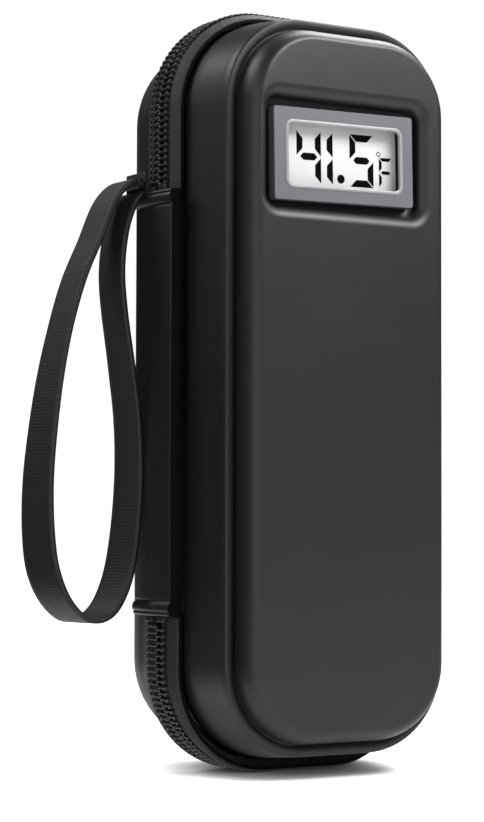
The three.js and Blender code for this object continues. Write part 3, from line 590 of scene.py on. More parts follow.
def wayDistance(x, z):
    # how far along the zip a point lies
    done = 0.0
    place = Vector((leftSide, 0, zipWay["start"]))
    best = (9.0, 0.0)
    for index, (direction, length) in enumerate(legs):
        run = max(0.0, min(length, (Vector((x, 0, z)) - place).dot(direction)))
        gap = (place + direction * run - Vector((x, 0, z))).length
        best = min(best, (gap, done + run))
        done += length
        place = place + direction * length
        if index < len(bends):
            hub = Vector((bends[index].x, 0, bends[index].z))
            arm, start = Vector((x, 0, z)) - hub, place - hub
            turn = math.atan2(start.cross(arm).y, start.dot(arm))
            if 0 <= turn <= math.pi / 2:
                best = min(best, (abs(arm.length - case["corner"]), done + turn * case["corner"]))
            done += bendLength
            place = hub + Matrix.Rotation(math.pi / 2, 3, "Y") @ start
    return best[1]


def swept(section):
    # a closed section of (inset, y, fall) points, drawn along the whole way
    bm = bmesh.new()
    around = bm.verts.layers.float.new("around")
    fall = bm.verts.layers.float.new("fall")
    verts = []
    travelled = 0.0
    for index, (inset, y, relaxed) in enumerate(section):
        vert = bm.verts.new((leftSide + inset, y, zipWay["start"]))
        vert[fall] = relaxed
        if index:
            travelled += (Vector(section[index][:2]) - Vector(section[index - 1][:2])).length
        vert[around] = travelled
        verts.append(vert)
    ring = [bm.edges.new(pair) for pair in zip(verts, verts[1:] + verts[:1])]
    bmesh.ops.contextual_create(bm, geom=ring)
    lead = verts + ring
    for index, (direction, length) in enumerate(legs):
        steps = max(1, round(zipWay["straightSteps"] * length / upperZ))
        made = bmesh.ops.spin(bm, geom=lead, cent=(0, 0, 0), axis=across, angle=0,
                              dvec=direction * (length / steps), steps=steps)
        lead = made["geom_last"]
        if index < len(bends):
            made = bmesh.ops.spin(bm, geom=lead, cent=bends[index], axis=across, angle=math.pi / 2,
                                  steps=case["cornerSteps"])
            lead = made["geom_last"]
    bmesh.ops.contextual_create(bm, geom=[item for item in lead if isinstance(item, bmesh.types.BMEdge)])
    bmesh.ops.recalc_face_normals(bm, faces=bm.faces)
    cloth = bm.loops.layers.uv.new("cloth")
    for face in bm.faces:
        for loop in face.loops:
            loop[cloth].uv = (wayDistance(loop.vert.co.x, loop.vert.co.z), loop.vert[around])
    for vert in bm.verts:
        # under the case the strip is pressed flat, level with the teeth
        pressed = 1 - min(1.0, max(0.0, vert.co.z) / case["corner"])
        outward = wayPoint(wayDistance(vert.co.x, vert.co.z))[2]
        vert.co += outward * (vert[fall] * pressed)
    return bm


zipTape = {
    "reach": 0.0088,
    "inside": 0.0031,
    "webEdge": 0.0012,
    "webOuter": 0.0013,
    "chainEdge": 0.0051,
    "foot": 0.0066,
    "shoulder": 0.0008,
    "drop": 0.0011,
    "roll": 0.0014,
    "edgeTurn": 0.0005,
    "edgeSteps": 5,
    "gutter": 0.0003,
    "paintedShadeShare": 0.25,
}

halves = (("front", "lid", -1), ("back", "back", 1))


def zipCloth(node, body, side):
    # the strip leaves the chain below its crest, falls away and rolls over to the shell
    tape = zipTape
    turn, roll, steps = tape["edgeTurn"], tape["roll"], tape["edgeSteps"]
    shoulder = tape["shoulder"]
    brow = shoulder + tape["drop"]
    section = [(tape["inside"], tape["foot"], 0.0), (tape["inside"], tape["webEdge"], 0.0),
               (tape["webOuter"], tape["webEdge"], 0.0),
               (tape["webOuter"], tape["chainEdge"] - tape["gutter"], 0.0),
               (shoulder + turn, tape["chainEdge"], shoulder)]
    for step in range(1, steps + 1):
        angle = math.pi / 2 * step / steps
        section.append((shoulder + turn * (1 - math.sin(angle)),
                        tape["chainEdge"] + turn * (1 - math.cos(angle)), shoulder))
    for step in range(steps + 1):
        angle = math.pi / 2 * step / steps
        section.append((brow + roll * (1 - math.cos(angle)),
                        tape["reach"] - roll * (1 - math.sin(angle)), brow))
    section.append((tape["inside"] + tape["gutter"], tape["foot"], 0.0))
    bm = swept([(inset, case["seam"] + side * y, relaxed) for inset, y, relaxed in section])
    # the outer share of the roll into the gutter takes the near-black cloth: painted gutter shade
    for face in bm.faces:
        off = abs(face.calc_center_median().y - case["seam"])
        face.material_index = int(off > tape["reach"] - tape["roll"] * tape["paintedShadeShare"])
    piece = settle(camel(node), bm, "zip_cloth", body, crease=50)
    piece.data.materials.append(materials["edge_binding"])
    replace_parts(piece, node)


for half, body, side in halves:
    zipCloth(half + "_zip_tape", body, side)
print("zip tapes done")


# coil teeth, and the thread that sews each coil to its tape

coil = {
    "pitch": 0.00175,
    "endRoom": 0.0018,
    "legLong": 0.0042,
    "legWide": 0.00085,
    "legHigh": 0.0010,
    "legAt": -0.0026,
    "headLong": 0.0021,
    "headWide": 0.00125,
    "headHigh": 0.0013,
    "headAt": -0.0005,
    "sunk": 0.00065,
    "threadLong": 0.0021,
    "threadWide": 0.0009,
    "threadHigh": 0.0007,
    "threadAt": -0.0037,
    "threadSunk": 0.0003,
    "threadTurn": 0.65,
    "openShift": 0.0006,
    "sides": 6,
    "rings": 4,
}


def bead(bm, wide, longWay, high, at, sunk, turn=0.0):
    made = bmesh.ops.create_uvsphere(bm, u_segments=coil["sides"], v_segments=coil["rings"], radius=0.5)
    made = made["verts"]
    bmesh.ops.rotate(bm, verts=made, matrix=Matrix.Rotation(math.pi / 2, 3, "X"))
    bmesh.ops.scale(bm, vec=(wide, longWay, high), verts=made)
    bmesh.ops.rotate(bm, verts=made, matrix=Matrix.Rotation(turn, 3, "Z"))
    bmesh.ops.translate(bm, vec=(0, at, -sunk), verts=made)


def kept(bm, name):
    mesh = bpy.data.meshes.new(name)
    bm.to_mesh(mesh)
    bm.free()
    return mesh


def coilTooth():
    bm = bmesh.new()
    bead(bm, coil["legWide"], coil["legLong"], coil["legHigh"], coil["legAt"], coil["sunk"])
    bead(bm, coil["headWide"], coil["headLong"], coil["headHigh"], coil["headAt"], coil["sunk"])
    return kept(bm, "coilTooth")


def sewnThread():
    bm = bmesh.new()
    bead(bm, coil["threadWide"], coil["threadLong"], coil["threadHigh"], coil["threadAt"],
         coil["threadSunk"], coil["threadTurn"])
    return kept(bm, "sewnThread")


def strung(name, template, finish, body, side):
    # one bead after another along the whole way, with the back row half a pitch on
    bm = bmesh.new()
    run = wayLength - 2 * coil["endRoom"]
    count = round(run / coil["pitch"])
    for index in range(count):
        distance = coil["endRoom"] + run * (index + (0.5 if side > 0 else 0.0)) / count
        place, direction, outward = wayPoint(distance)
        sliderRun = place.x > case["middle"] + case["width"] / 2 - tiny
        place = place + across * side * (coil["openShift"] if sliderRun else 0.0)
        basis = Matrix((-side * direction, -side * across, outward)).transposed().to_4x4()
        known = len(bm.verts)
        bm.from_mesh(template)
        bm.verts.ensure_lookup_table()
        bmesh.ops.transform(bm, matrix=Matrix.Translation(place) @ basis, verts=bm.verts[known:])
    return settle(name, bm, finish, body, crease=180)


tooth = coilTooth()
thread = sewnThread()
for half, body, side in halves:
    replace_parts(strung(half + "ZipTeeth", tooth, "zip_nylon", body, side), half + "_zip_teeth")
    strung(half + "ZipThread", thread, "stitching", body, side)
print("zip teeth:", round(wayLength / coil["pitch"]), "a row")


# spine: one sheet of leatherette over both halves, hemmed at its ends

spine = {
    "reach": 0.0109,
    "bulge": 0.0014,
    "turnIn": 0.0024,
    "turnRun": 0.0018,
    "bound": 0.0015,
    "hem": 0.0039,
    "hemProud": 0.0009,
    "hemFold": 0.0011,
    "hemLine": 0.0003,
    "hemLineDeep": 0.0004,
    "rowCrowd": 1.8,
    "crease": 0.00005,
    "creaseHalf": 0.001,
    "proud": 0.0006,
    "wander": 0.00018,
    "wanderAcross": 90,
    "wanderAlong": 40,
    "bendHalf": 0.004,
    "bendHeight": 0.1,
    "thick": 0.0022,
    "columns": 48,
    "rows": 180,
}


def spineSkin(bm):
    low, high = spineBox[0].z, spineBox[1].z
    made = bmesh.ops.create_grid(bm, x_segments=spine["columns"], y_segments=spine["rows"], size=0.5)
    made = made["verts"]
    bmesh.ops.scale(bm, vec=(2 * spine["reach"], high - low, 1), verts=made)
    cloth = bm.loops.layers.uv.new("cloth")
    for face in bm.faces:
        for loop in face.loops:
            loop[cloth].uv = loop.vert.co.xy
    face = leftSide - spine["proud"]
    for vert in made:
        # rows crowd towards the hems
        along = vert.co.y * 2 / (high - low)
        along = math.copysign(1 - (1 - min(1.0, abs(along))) ** spine["rowCrowd"], along)
        y, z = vert.co.x, (low + high) / 2 + along * (high - low) / 2
        share = abs(y) / spine["reach"]
        out = spine["bulge"] * (1 - share * share)
        edge = max(0.0, (abs(y) - spine["reach"] + spine["turnRun"]) / spine["turnRun"])
        out -= spine["turnIn"] * (1 - math.sqrt(max(0.0, 1 - edge * edge)))
        out -= spine["crease"] * math.exp(-((y / spine["creaseHalf"]) ** 2))
        toEnd = min(z - low, high - z)
        out += spine["hemProud"] * math.sqrt(math.sin(math.pi * min(1.0, toEnd / spine["hem"])))
        for line in (spine["hem"], spine["hemFold"]):
            out -= spine["hemLineDeep"] * math.exp(-(((toEnd - line) / spine["hemLine"]) ** 2))
        place = Vector((y * spine["wanderAcross"], z * spine["wanderAlong"], 0.3))
        out += spine["wander"] * noise.noise(place)
        vert.co = Vector((face - out, case["seam"] - y, z))


def spinePiece():
    bm = bmesh.new()
    spineSkin(bm)
    bmesh.ops.recalc_face_normals(bm, faces=bm.faces)
    if bm.faces[:][0].normal.x > 0:
        bmesh.ops.reverse_faces(bm, faces=bm.faces)
    # the spine's turned-in edges take the near-black cloth: painted gutter shade
    for face in bm.faces:
        off = abs(face.calc_center_median().y - case["seam"])
        face.material_index = int(off > spine["reach"] - spine["bound"])
    piece = settle("spine", bm, "spine_leatherette", None, crease=180)
    piece.data.materials.append(materials["edge_binding"])
    walled(piece, spine["thick"])
    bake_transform(piece)
    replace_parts(piece, "spine_back_leaf", "spine_front_leaf")


spinePiece()
print("spine done")


# wrist strap: a loop of webbing, sewn on at the top of the spine

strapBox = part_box("wrist_strap")
strap = {
    "width": strapBox[1].y - strapBox[0].y,
    "thick": 0.0012,
    "reach": 0.0297,
    "drop": 0.1195,
    "rootAbove": 0.0032,
    "rootOut": 0.0013,
    "steps": 220,
    "columns": 10,
    "turn": math.radians(15),
    "turnBack": math.radians(7),
    "turnFrom": 0.35,
    "backFrom": 0.45,
    "backRate": 10,
    "anchorEdge": 0.0003,
    "route": ((0.01, 0.008), (0.13, 0), (0.31, 0.045), (0.47, 0.135), (0.64, 0.23), (0.775, 0.34),
              (0.88, 0.46), (0.95, 0.58), (0.99, 0.69), (0.985, 0.8), (0.93, 0.89), (0.79, 0.96), (0.58, 1),
              (0.35, 0.985), (0.19, 0.92), (0.1, 0.82), (0.055, 0.68), (0.07, 0.55), (0.14, 0.42),
              (0.22, 0.29), (0.245, 0.2), (0.2, 0.11), (0.1, 0.045), (0.01, 0.024)),
}


def smoothRoute(points, steps):
    # evenly spaced places on a smooth curve through the points
    padded = [2 * points[0] - points[1], *points, 2 * points[-1] - points[-2]]
    fine = []
    perSpan = 24
    for index in range(len(points) - 1):
        a, b, c, d = padded[index:index + 4]
        for step in range(perSpan):
            t = step / perSpan
            fine.append(0.5 * (2 * b + (c - a) * t + (2 * a - 5 * b + 4 * c - d) * t * t
                               + (3 * b - a - 3 * c + d) * t ** 3))
    fine.append(points[-1])
    lengths = [0.0]
    for before, after in zip(fine, fine[1:]):
        lengths.append(lengths[-1] + (after - before).length)
    spots, index = [], 0
    for step in range(steps + 1):
        goal = lengths[-1] * step / steps
        while index < len(fine) - 2 and lengths[index + 1] < goal:
            index += 1
        span = lengths[index + 1] - lengths[index]
        spots.append(fine[index].lerp(fine[index + 1], (goal - lengths[index]) / span))
    return spots, lengths[-1]


def strapPiece():
    rootX = leftSide - strap["rootOut"]
    rootZ = spineBox[1].z + strap["rootAbove"]
    points = [Vector((rootX - out * strap["reach"], 0, rootZ - down * strap["drop"]))
              for out, down in strap["route"]]
    spots, length = smoothRoute(points, strap["steps"])
    middleY = (strapBox[0].y + strapBox[1].y) / 2
    bm = bmesh.new()
    cloth = bm.loops.layers.uv.new("cloth")
    around = bm.verts.layers.float.new("around")
    row = [bm.verts.new((0, step / strap["columns"] - 0.5, 0)) for step in range(strap["columns"] + 1)]
    for vert in row:
        vert[around] = vert.co.y
    lead = [bm.edges.new(pair) for pair in zip(row, row[1:])]
    uvs = {}
    for index, spot in enumerate(spots):
        share = index / strap["steps"]
        fallen = max(0.0, (rootZ - spot.z) / strap["drop"] - strap["turnFrom"]) / (1 - strap["turnFrom"])
        backing = min(1.0, max(0.0, (share - strap["backFrom"]) * strap["backRate"]))
        turned = Matrix.Rotation((strap["turn"] - strap["turnBack"] * backing) * min(1.0, fallen), 3, "Z")
        if index:
            made = bmesh.ops.extrude_edge_only(bm, edges=lead)["geom"]
            row = [item for item in made if isinstance(item, bmesh.types.BMVert)]
            lead = [item for item in made if isinstance(item, bmesh.types.BMEdge) and item.is_boundary
                    and all(v in row for v in item.verts)]
        for vert in row:
            vert.co = Vector((spot.x, middleY, spot.z)) + turned @ across * (vert[around] * strap["width"])
            uvs[vert] = (share * length, vert[around] * strap["width"])
    for face in bm.faces:
        for loop in face.loops:
            loop[cloth].uv = uvs[loop.vert]
    bmesh.ops.recalc_face_normals(bm, faces=bm.faces)
    piece = walled(settle("wristStrap", bm, "webbing", "strap", crease=180), strap["thick"], 0)
    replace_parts(piece, "wrist_strap")
    print("strap length", round(length, 4))


refined("strap_anchor", "webbing", strap["anchorEdge"], frame["nodes"]["strap_anchor"]["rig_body"])
strapPiece()


# thermometer

thermometer = {
    "display_bezel": {"finish": "bezel_plastic", "edge": 0.00015, "changed": leanDisplay},
    "display_lens": {"finish": "lens_clear", "edge": 0.0001, "changed": leanDisplay},
    "lcd_panel": {"finish": "lcd_glass", "edge": 0.0001, "changed": leanDisplay},
    "lower_contact_strip": {"finish": "contact_rubber", "edge": 0.0001},
    "upper_contact_strip": {"finish": "contact_rubber", "edge": 0.0001},
    "circuit_board": {"finish": "board_laminate", "edge": 0.0001},
    "thermometer_housing": {"finish": "housing_plastic", "edge": 0.0002},
    "cell_contact": {"finish": "contact_metal", "edge": 0.00005},
    "left_button_cell": {"finish": "cell_steel", "edge": 0.0003},
    "right_button_cell": {"finish": "cell_steel", "edge": 0.0003},
    "battery_cover": {"finish": "housing_plastic", "edge": 0.00025, "body": "battery_cover"},
    "unit_button": {"finish": "button_rubber", "edge": 0.0004, "body": "unit_button", "segments": 3},
    "temperature_sensor": {"finish": "sensor_steel", "edge": 0.0001},
}
for node, making in thermometer.items():
    refined(node, **making)

digits = {
    "thick": 0.00195,
    "gap": 0.0002,
    "proud": 0.00003,
    "top": 0.0071,
    "bottom": -0.00725,
    "middle": 0.00005,
    "left": (-0.01345, -0.0055, 0.00385),
    "right": (-0.00555, -0.0017, 0.01175),
    "dot": (0.0009, -0.0054),
    "dotRadius": 0.00125,
    "unitThick": 0.00095,
    "unitLeft": 0.0136,
    "unitRight": 0.0181,
    "unitTop": 0.0013,
    "unitMiddle": -0.0028,
    "unitBottom": -0.0069,
    "degree": (0.0135, 0.0022),
    "degreeOuter": 0.0007,
    "degreeInner": 0.00045,
    "roundSteps": 20,
}


def inkBar(bm, start, end, thick, inward=None):
    # an edge bar is cut slanting towards its figure's middle, a middle bar is pointed at both ends
    along = (end - start).normalized()
    aside = Vector((-along.y, along.x))
    start, end = start + along * digits["gap"], end - along * digits["gap"]
    if inward is None:
        half = thick / 2
        spots = [start, start + along * half + aside * half, end - along * half + aside * half,
                 end, end - along * half - aside * half, start + along * half - aside * half]
    else:
        deep = aside * thick * (1 if aside.dot(inward) > 0 else -1)
        spots = [start, start + along * thick + deep, end - along * thick + deep, end]
    bm.faces.new([bm.verts.new((spot.x, spot.y, 0)) for spot in spots])


def figure(bm, left, right, high, mid, low, thick, names):
    # seven bars round a figure's two squares
    toRight, toLeft, down, up = (Vector(way) for way in ((1, 0), (-1, 0), (0, -1), (0, 1)))
    bars = {
        "upperLeft": ((left, high), (left, mid), toRight),
        "upperRight": ((right, high), (right, mid), toLeft),
        "lowerLeft": ((left, mid), (left, low), toRight),
        "lowerRight": ((right, mid), (right, low), toLeft),
        "top": ((left, high), (right, high), down),
        "bottom": ((left, low), (right, low), up),
        "middle": ((left + thick / 2, mid), (right - thick / 2, mid), None),
    }
    for name in names:
        start, end, inward = bars[name]
        inkBar(bm, Vector(start), Vector(end), thick, inward)


def lcdFigures():
    bm = bmesh.new()
    shown = (("upperLeft", "upperRight", "middle", "lowerRight"), ("upperRight", "lowerRight"),
             ("top", "upperLeft", "middle", "lowerRight", "bottom"))
    for left, right, names in zip(digits["left"], digits["right"], shown):
        figure(bm, left, right, digits["top"], digits["middle"], digits["bottom"], digits["thick"], names)
    figure(bm, digits["unitLeft"], digits["unitRight"], digits["unitTop"], digits["unitMiddle"],
           digits["unitBottom"], digits["unitThick"], ("top", "upperLeft", "middle", "lowerLeft"))
    steps = digits["roundSteps"]
    ring = bmesh.ops.create_circle(bm, cap_ends=True, segments=steps, radius=digits["degreeOuter"])["verts"]
    band = digits["degreeOuter"] - digits["degreeInner"]
    hole = bmesh.ops.inset_region(bm, faces=[ring[0].link_faces[0]], use_boundary=True,
                                  use_even_offset=True, thickness=band)
    inner = {vert for face in hole["faces"] for vert in face.verts} - set(ring)
    bmesh.ops.delete(bm, geom=[face for face in bm.faces if set(face.verts) == inner], context="FACES_ONLY")
    bmesh.ops.translate(bm, vec=(*digits["degree"], 0), verts=ring + list(inner))
    dot = bmesh.ops.create_circle(bm, cap_ends=True, segments=steps, radius=digits["dotRadius"])["verts"]
    bmesh.ops.translate(bm, vec=(*digits["dot"], 0), verts=dot)
    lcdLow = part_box("lcd_panel")[0]
    place = Matrix.Translation((display["x"], lcdLow.y - digits["proud"], display["z"]))
    bmesh.ops.transform(bm, matrix=place @ Matrix.Rotation(math.pi / 2, 4, "X"), verts=bm.verts)
    leanDisplay(bm)
    grown = bmesh.ops.extrude_face_region(bm, geom=bm.faces[:])["geom"]
    grown = [item for item in grown if isinstance(item, bmesh.types.BMVert)]
    bmesh.ops.translate(bm, vec=(0, digits["proud"] / 2, 0), verts=grown)
    bmesh.ops.recalc_face_normals(bm, faces=bm.faces)
    settle("lcdFigures", bm, "lcd_ink", "lid")


def windowRim():
    # a pale half-round rim round the window
    bm = bmesh.new()
    wide = display["windowWidth"] + 2 * display["rimOut"]
    high = display["windowHeight"] + 2 * display["rimOut"]
    corner = display["windowCorner"] + display["rimOut"]
    at = case["seam"] - bezelLow.y
    face = outlineFace(bm, wide, high, corner, at, display["x"], display["z"])
    half = (display["rimOut"] + display["rimIn"]) / 2
    points = [(at - display["rimProud"], 0.0), (at, 0.0)]
    for step in range(1, 2 * display["rimSteps"] + 1):
        angle = math.pi / 2 * step / display["rimSteps"]
        points.append((at + display["rimProud"] * math.sin(angle), half * (1 - math.cos(angle))))
    points.append((at - display["rimProud"], 2 * half))
    bmesh.ops.translate(bm, vec=(0, display["rimProud"], 0), verts=bm.verts)
    follow(bm, face, points)
    bmesh.ops.delete(bm, geom=[face], context="FACES_ONLY")
    openEnds = [edge for edge in bm.edges if edge.is_boundary]
    bmesh.ops.bridge_loops(bm, edges=openEnds)
    bmesh.ops.recalc_face_normals(bm, faces=bm.faces)
    leanDisplay(bm)
    settle("windowRim", bm, "window_rim", "lid", crease=50)


windowRim()
lcdFigures()
print("thermometer done")


# zip stops, sliders and pulls

hardware = {
    "stopEdge": 0.0002,
    "metalEdge": 0.0003,
    "metalSegments": 3,
}
for half, body in (("back", "back"), ("front", "lid")):
    for end in ("upper", "lower"):
        refined(half + "_" + end + "_stop", "zip_nylon", hardware["stopEdge"], body)
for node in ("upper_slider", "lower_slider", "upper_pull", "lower_pull"):
    refined(node, "zip_metal", hardware["metalEdge"], node, hardware["metalSegments"])
print("zip stops and sliders done")


# inside: linings, gel packs, net, pen panel and bands

inside = {
    "footRoom": 0.0241,
    "footInset": 0.011,
    "footSlope": 4.0,
    "pouchCuts": 44,
    "pouchCorner": 0.007,
    "seal": 0.0045,
    "sealHalf": 0.0004,
    "crownRun": 0.017,
    "fill": 0.85,
    "wrinkle": 0.0007,
    "folds": ((260, 90), (70, 190)),
    "foldFade": 0.6,
    "foldRise": 4,
    "netCell": 0.0034,
    "netStrand": 0.0005,
    "netThick": 0.0006,
    "netCorner": 0.019,
    "netHem": 2,
    "bandThick": 0.001,
    "bandRows": 12,
    "archSteps": 20,
    "archLand": 0.001,
    "pens": 3,
    "archNarrow": 0.03,
    "bandWander": 0.0004,
    "bandFold": (60, 120),
    "foilEdge": 0.0004,
    "panelEdge": 0.0003,
}


def clearGroove(bm):
    # the foil tray keeps off the hollow round the lid's panel
    for vert in bm.verts:
        room = inside["footRoom"] + max(0.0, caseInset(vert.co) - inside["footInset"]) * inside["footSlope"]
        vert.co.y = max(vert.co.y, case["seam"] - room)


def onto(spot, width, height, corner):
    # a place beyond a rounded corner moves in on to it
    middle = Vector((math.copysign(width / 2 - corner, spot[0]),
                     math.copysign(height / 2 - corner, spot[1])))
    arm = Vector(spot) - middle
    past = arm.x * middle.x > 0 and arm.y * middle.y > 0 and arm.length > corner
    return middle + arm.normalized() * corner if past else Vector(spot)


def gelPouch(node, body):
    # two films sealed round their edge, full of gel, wrinkled where they meet the seal
    low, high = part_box(node)
    hub, size = (low + high) / 2, high - low
    bm = bmesh.new()
    for side in (-1, 1):
        tall = round(inside["pouchCuts"] * size.z / size.x)
        made = bmesh.ops.create_grid(bm, x_segments=inside["pouchCuts"], y_segments=tall, size=0.5)["verts"]
        for vert in made:
            spot = onto((vert.co.x * size.x, vert.co.y * size.z), size.x, size.z, inside["pouchCorner"])
            depthIn = within(spot.x, spot.y, size.x, size.z, inside["pouchCorner"])
            full = min(1.0, max(0.0, (depthIn - inside["seal"]) / inside["crownRun"]))
            crown = 1 - (1 - full) ** 3
            fold = sum(noise.noise(Vector((spot.x * wide, spot.y * high, side)))
                       for wide, high in inside["folds"])
            thick = inside["sealHalf"] + (size.y / 2 - inside["sealHalf"]) * crown
            fade = 1 - full * inside["foldFade"]
            thick += inside["wrinkle"] * fold * fade * min(1.0, full * inside["foldRise"])
            thick = 0.0 if depthIn < tiny else min(thick, size.y / 2)
            vert.co = hub + Vector((spot.x, side * thick, spot.y))
    bmesh.ops.remove_doubles(bm, verts=bm.verts, dist=tiny)
    bmesh.ops.recalc_face_normals(bm, faces=bm.faces)
    piece = settle(camel(node), bm, "gel_film", body, crease=60)
    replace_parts(piece, node)


def netPiece():
    # knotted net inside a plain hem, stretched over the lid's pack
    low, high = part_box("net_pocket")
    hub, size = (low + high) / 2, high - low
    wide, tall = round(size.x / inside["netCell"]), round(size.z / inside["netCell"])
    bm = bmesh.new()
    bmesh.ops.create_grid(bm, x_segments=wide, y_segments=tall, size=0.5)
    cloth = bm.loops.layers.uv.new("cloth")
    hem = inside["netHem"] / wide
    holes = [face for face in bm.faces if abs(face.calc_center_median().x) < 0.5 - hem
             and abs(face.calc_center_median().y) < 0.5 - inside["netHem"] / tall]
    for vert in bm.verts:
        row = round((vert.co.y + 0.5) * tall)
        lean = (row % 2 - 0.5) / wide / 2 if abs(vert.co.x) < 0.5 - 0.5 / wide else 0.0
        spot = Vector(((vert.co.x + lean) * size.x, vert.co.y * size.z))
        if spot.y < 0:
            spot = onto(spot, size.x, size.z, inside["netCorner"])
        vert.co = Vector((spot.x, spot.y, 0))
    for face in bm.faces:
        for loop in face.loops:
            loop[cloth].uv = loop.vert.co.xy
    bmesh.ops.inset_individual(bm, faces=holes, thickness=inside["netStrand"], use_even_offset=True)
    bmesh.ops.delete(bm, geom=holes, context="FACES")
    area = sum(face.calc_area() for face in bm.faces)
    turn = Matrix.Translation(hub) @ Matrix.Rotation(math.pi / 2, 4, "X")
    bmesh.ops.transform(bm, matrix=turn, verts=bm.verts)
    piece = walled(settle("netPocket", bm, "elastic", "lid", crease=60), inside["netThick"], 0)
    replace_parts(piece, "net_pocket")


def penBand(node):
    # ribbed elastic, sewn down between three loops
    low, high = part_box(node)
    thick, land, count = inside["bandThick"], inside["archLand"], inside["pens"]
    pitch = (high.x - low.x - land) / count
    radius = (pitch - land) / 2 - thick / 2
    base, hub = high.y - thick / 2, (low + high) / 2
    path = [Vector((low.x, base))]
    for loop in range(count):
        middle = low.x + land / 2 + pitch * (loop + 0.5)
        path += [Vector((middle - radius, base)), Vector((middle - radius, base - radius / 2))]
        for step in range(inside["archSteps"] + 1):
            angle = math.pi * step / inside["archSteps"]
            path.append(Vector((middle - radius * math.cos(angle),
                                base - radius - radius * math.sin(angle) + thick / 2)))
        path += [Vector((middle + radius, base - radius / 2)), Vector((middle + radius, base))]
    path.append(Vector((high.x, base)))
    spots, length = smoothRoute(path, len(path) * 3)
    bm = bmesh.new()
    bmesh.ops.create_grid(bm, x_segments=len(spots) - 1, y_segments=inside["bandRows"], size=0.5)
    cloth = bm.loops.layers.uv.new("cloth")
    for face in bm.faces:
        for loop in face.loops:
            loop[cloth].uv = (loop.vert.co.x * length, loop.vert.co.y * (high.z - low.z))
    for vert in bm.verts:
        index = round((vert.co.x + 0.5) * (len(spots) - 1))
        spot = spots[index]
        lifted = min(1.0, max(0.0, (base - spot.y) / radius))
        z = vert.co.y * (high.z - low.z) * (1 - inside["archNarrow"] * lifted)
        along, up = inside["bandFold"]
        sag = inside["bandWander"] * lifted * noise.noise(Vector((spot.x * along, z * up, hub.z)))
        vert.co = Vector((spot.x, max(low.y + thick / 2, spot.y + sag), hub.z + z))
    piece = walled(settle(camel(node), bm, "elastic", "back", crease=60), thick, 0)
    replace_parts(piece, node)


refined("front_lining", "foil_lining", inside["foilEdge"], changed=clearGroove)
refined("back_lining", "foil_lining", inside["foilEdge"], "back")
refined("pen_panel", "foil_lining", inside["panelEdge"], "back")
netPiece()
for half, body in (("back", "back"), ("front", "lid")):
    gelPouch(half + "_gel_pack", body)
for end in ("lower", "upper"):
    penBand(end + "_pen_band")
print("inside done")


# floor, light and camera

studio = {
    "floorSize": 4.0,
    "floorGlow": 1.1,
    "floorMirrored": 0.22,
    "paper": 0.9,
    "paperRough": 0.6,
    "shadeReach": 0.012,
    "shadeDepth": 2.0,
    "sky": 1.05,
    "ambient": 0.06,
    "azimuth": math.radians(33.28),
    "elevation": math.radians(-3.27),
    "roll": math.radians(0.18),
    "distance": 0.639,
    "focal": 2271.94,
    "sensor": 36,
    "frameHeight": 822,
    "frameWidth": 484,
    "centreAcross": 283.03,
    "centreDown": 391.27,
}

lights = {
    "topSoft": {"place": (0.13, -0.23, 0.27), "size": (0.25, 0.14), "power": 1.7},
    "topBack": {"place": (0.30, 0.12, 0.50), "size": (0.35, 0.3), "power": 3.0},
    "frontFill": {"place": (1.1, -1.5, 0.3), "size": (2.0, 1.8), "power": 2.0},
    "frontLeft": {"place": (-0.85, -1.35, 0.38), "size": (1.3, 1.4), "power": 5.2},
    "leftWall": {"place": (-1.5, -0.45, 0.3), "size": (0.8, 1.4), "power": 6.2},
    "leftHigh": {"place": (-0.5, 0.45, 0.62), "size": (0.4, 0.4), "power": 3.5},
    "backWall": {"place": (0.85, 1.15, 0.2), "size": (1.3, 1.4), "power": 3},
}
cards = {
    "leftFlag": {"place": (-0.5, 0.5, 0.0), "size": (0.9, 1.2), "toward": (0, 0, 0)},
    "floorFlag": {"place": (-0.45, 0.3, -0.104), "size": (0.7, 0.7), "toward": (-0.45, 0.3, 1)},
}
cardTone = 0.01


def softLight(name, place, size, power):
    lamp = bpy.data.lights.new(name, "AREA")
    lamp.shape = "RECTANGLE"
    lamp.size, lamp.size_y = size
    lamp.energy = power
    made = bpy.data.objects.new(name, lamp)
    bpy.context.scene.collection.objects.link(made)
    made.location = centre + Vector(place)
    made.rotation_euler = (centre - made.location).to_track_quat("-Z", "Y").to_euler()


def card(name, place, size, toward):
    # a matt black card that only reflections see
    bm = bmesh.new()
    bmesh.ops.create_grid(bm, x_segments=1, y_segments=1, size=0.5)
    bmesh.ops.scale(bm, vec=(*size, 1), verts=bm.verts)
    spot = centre + Vector(place)
    turn = (centre + Vector(toward) - spot).to_track_quat("Z", "Y").to_matrix().to_4x4()
    bmesh.ops.transform(bm, matrix=Matrix.Translation(spot) @ turn, verts=bm.verts)
    mesh = kept(bm, name)
    material = bpy.data.materials.new(name)
    material.use_nodes = True
    material.node_tree.nodes["Principled BSDF"].inputs["Base Color"].default_value = colour(cardTone)
    material.node_tree.nodes["Principled BSDF"].inputs["Roughness"].default_value = 1.0
    mesh.materials.append(material)
    made = bpy.data.objects.new(name, mesh)
    bpy.context.scene.collection.objects.link(made)
    made.visible_camera = False
    made.visible_shadow = False


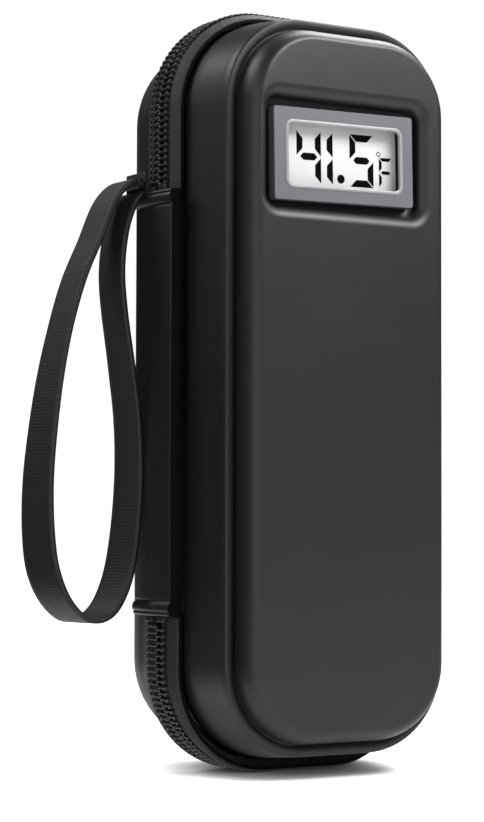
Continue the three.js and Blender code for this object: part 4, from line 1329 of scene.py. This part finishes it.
def floor():
    bm = bmesh.new()
    bmesh.ops.create_grid(bm, x_segments=1, y_segments=1, size=studio["floorSize"])
    mesh = kept(bm, "floor")
    material = bpy.data.materials.new("floorPaper")
    material.use_nodes = True
    tree = material.node_tree
    shader = tree.nodes["Principled BSDF"]
    shader.inputs["Base Color"].default_value = colour(studio["paper"])
    shader.inputs["Roughness"].default_value = studio["paperRough"]
    shader.inputs["Emission Color"].default_value = colour(1)
    seen = addNode(tree, "ShaderNodeLightPath").outputs["Is Camera Ray"]
    glow = addNode(tree, "ShaderNodeMapRange",
                   {"Value": seen, "To Min": studio["floorMirrored"], "To Max": studio["floorGlow"]})
    # painted contact shadow, seen by the camera only: the glow fades where the case stands over the paper
    shade = addNode(tree, "ShaderNodeAmbientOcclusion", {"Distance": studio["shadeReach"]})
    depth = math2(tree, "MULTIPLY", seen, studio["shadeDepth"])
    shade = math2(tree, "POWER", shade.outputs["AO"], depth)
    tree.links.new(math2(tree, "MULTIPLY", shade, glow.outputs[0]), shader.inputs["Emission Strength"])
    mesh.materials.append(material)
    made = bpy.data.objects.new("floor", mesh)
    bpy.context.scene.collection.objects.link(made)


def sky():
    world = bpy.data.worlds.new("studio")
    bpy.context.scene.world = world
    world.use_nodes = True
    tree = world.node_tree
    seen = addNode(tree, "ShaderNodeLightPath").outputs["Is Camera Ray"]
    strength = addNode(tree, "ShaderNodeMapRange",
                       {"Value": seen, "To Min": studio["ambient"], "To Max": studio["sky"]})
    tree.links.new(strength.outputs[0], tree.nodes["Background"].inputs["Strength"])
    tree.nodes["Background"].inputs["Color"].default_value = colour(1)


def camera():
    azimuth, elevation = studio["azimuth"], studio["elevation"]
    back = Vector((-math.sin(azimuth) * math.cos(elevation), -math.cos(azimuth) * math.cos(elevation),
                   math.sin(elevation)))
    lens = bpy.data.cameras.new("camera")
    lens.sensor_fit = "VERTICAL"
    lens.sensor_height = studio["sensor"]
    lens.lens = studio["focal"] / studio["frameHeight"] * lens.sensor_height
    made = bpy.data.objects.new("camera", lens)
    bpy.context.scene.collection.objects.link(made)
    bpy.context.scene.camera = made
    made.location = centre + back * studio["distance"]
    level = (-back).to_track_quat("-Z", "Y").to_matrix()
    perPixel = studio["distance"] / studio["focal"]
    aside = (studio["centreAcross"] - studio["frameWidth"] / 2) * perPixel
    down = (studio["centreDown"] - studio["frameHeight"] / 2) * perPixel
    aim = centre - level.col[0] * aside + level.col[1] * down
    turned = (aim - made.location).to_track_quat("-Z", "Y").to_matrix()
    made.rotation_euler = (turned @ Matrix.Rotation(studio["roll"], 3, "Z")).to_euler()


floor()
sky()
camera()
for name, values in lights.items():
    softLight(name, **values)
for name, values in cards.items():
    card(name, **values)
bpy.context.scene.view_settings.view_transform = "Standard"
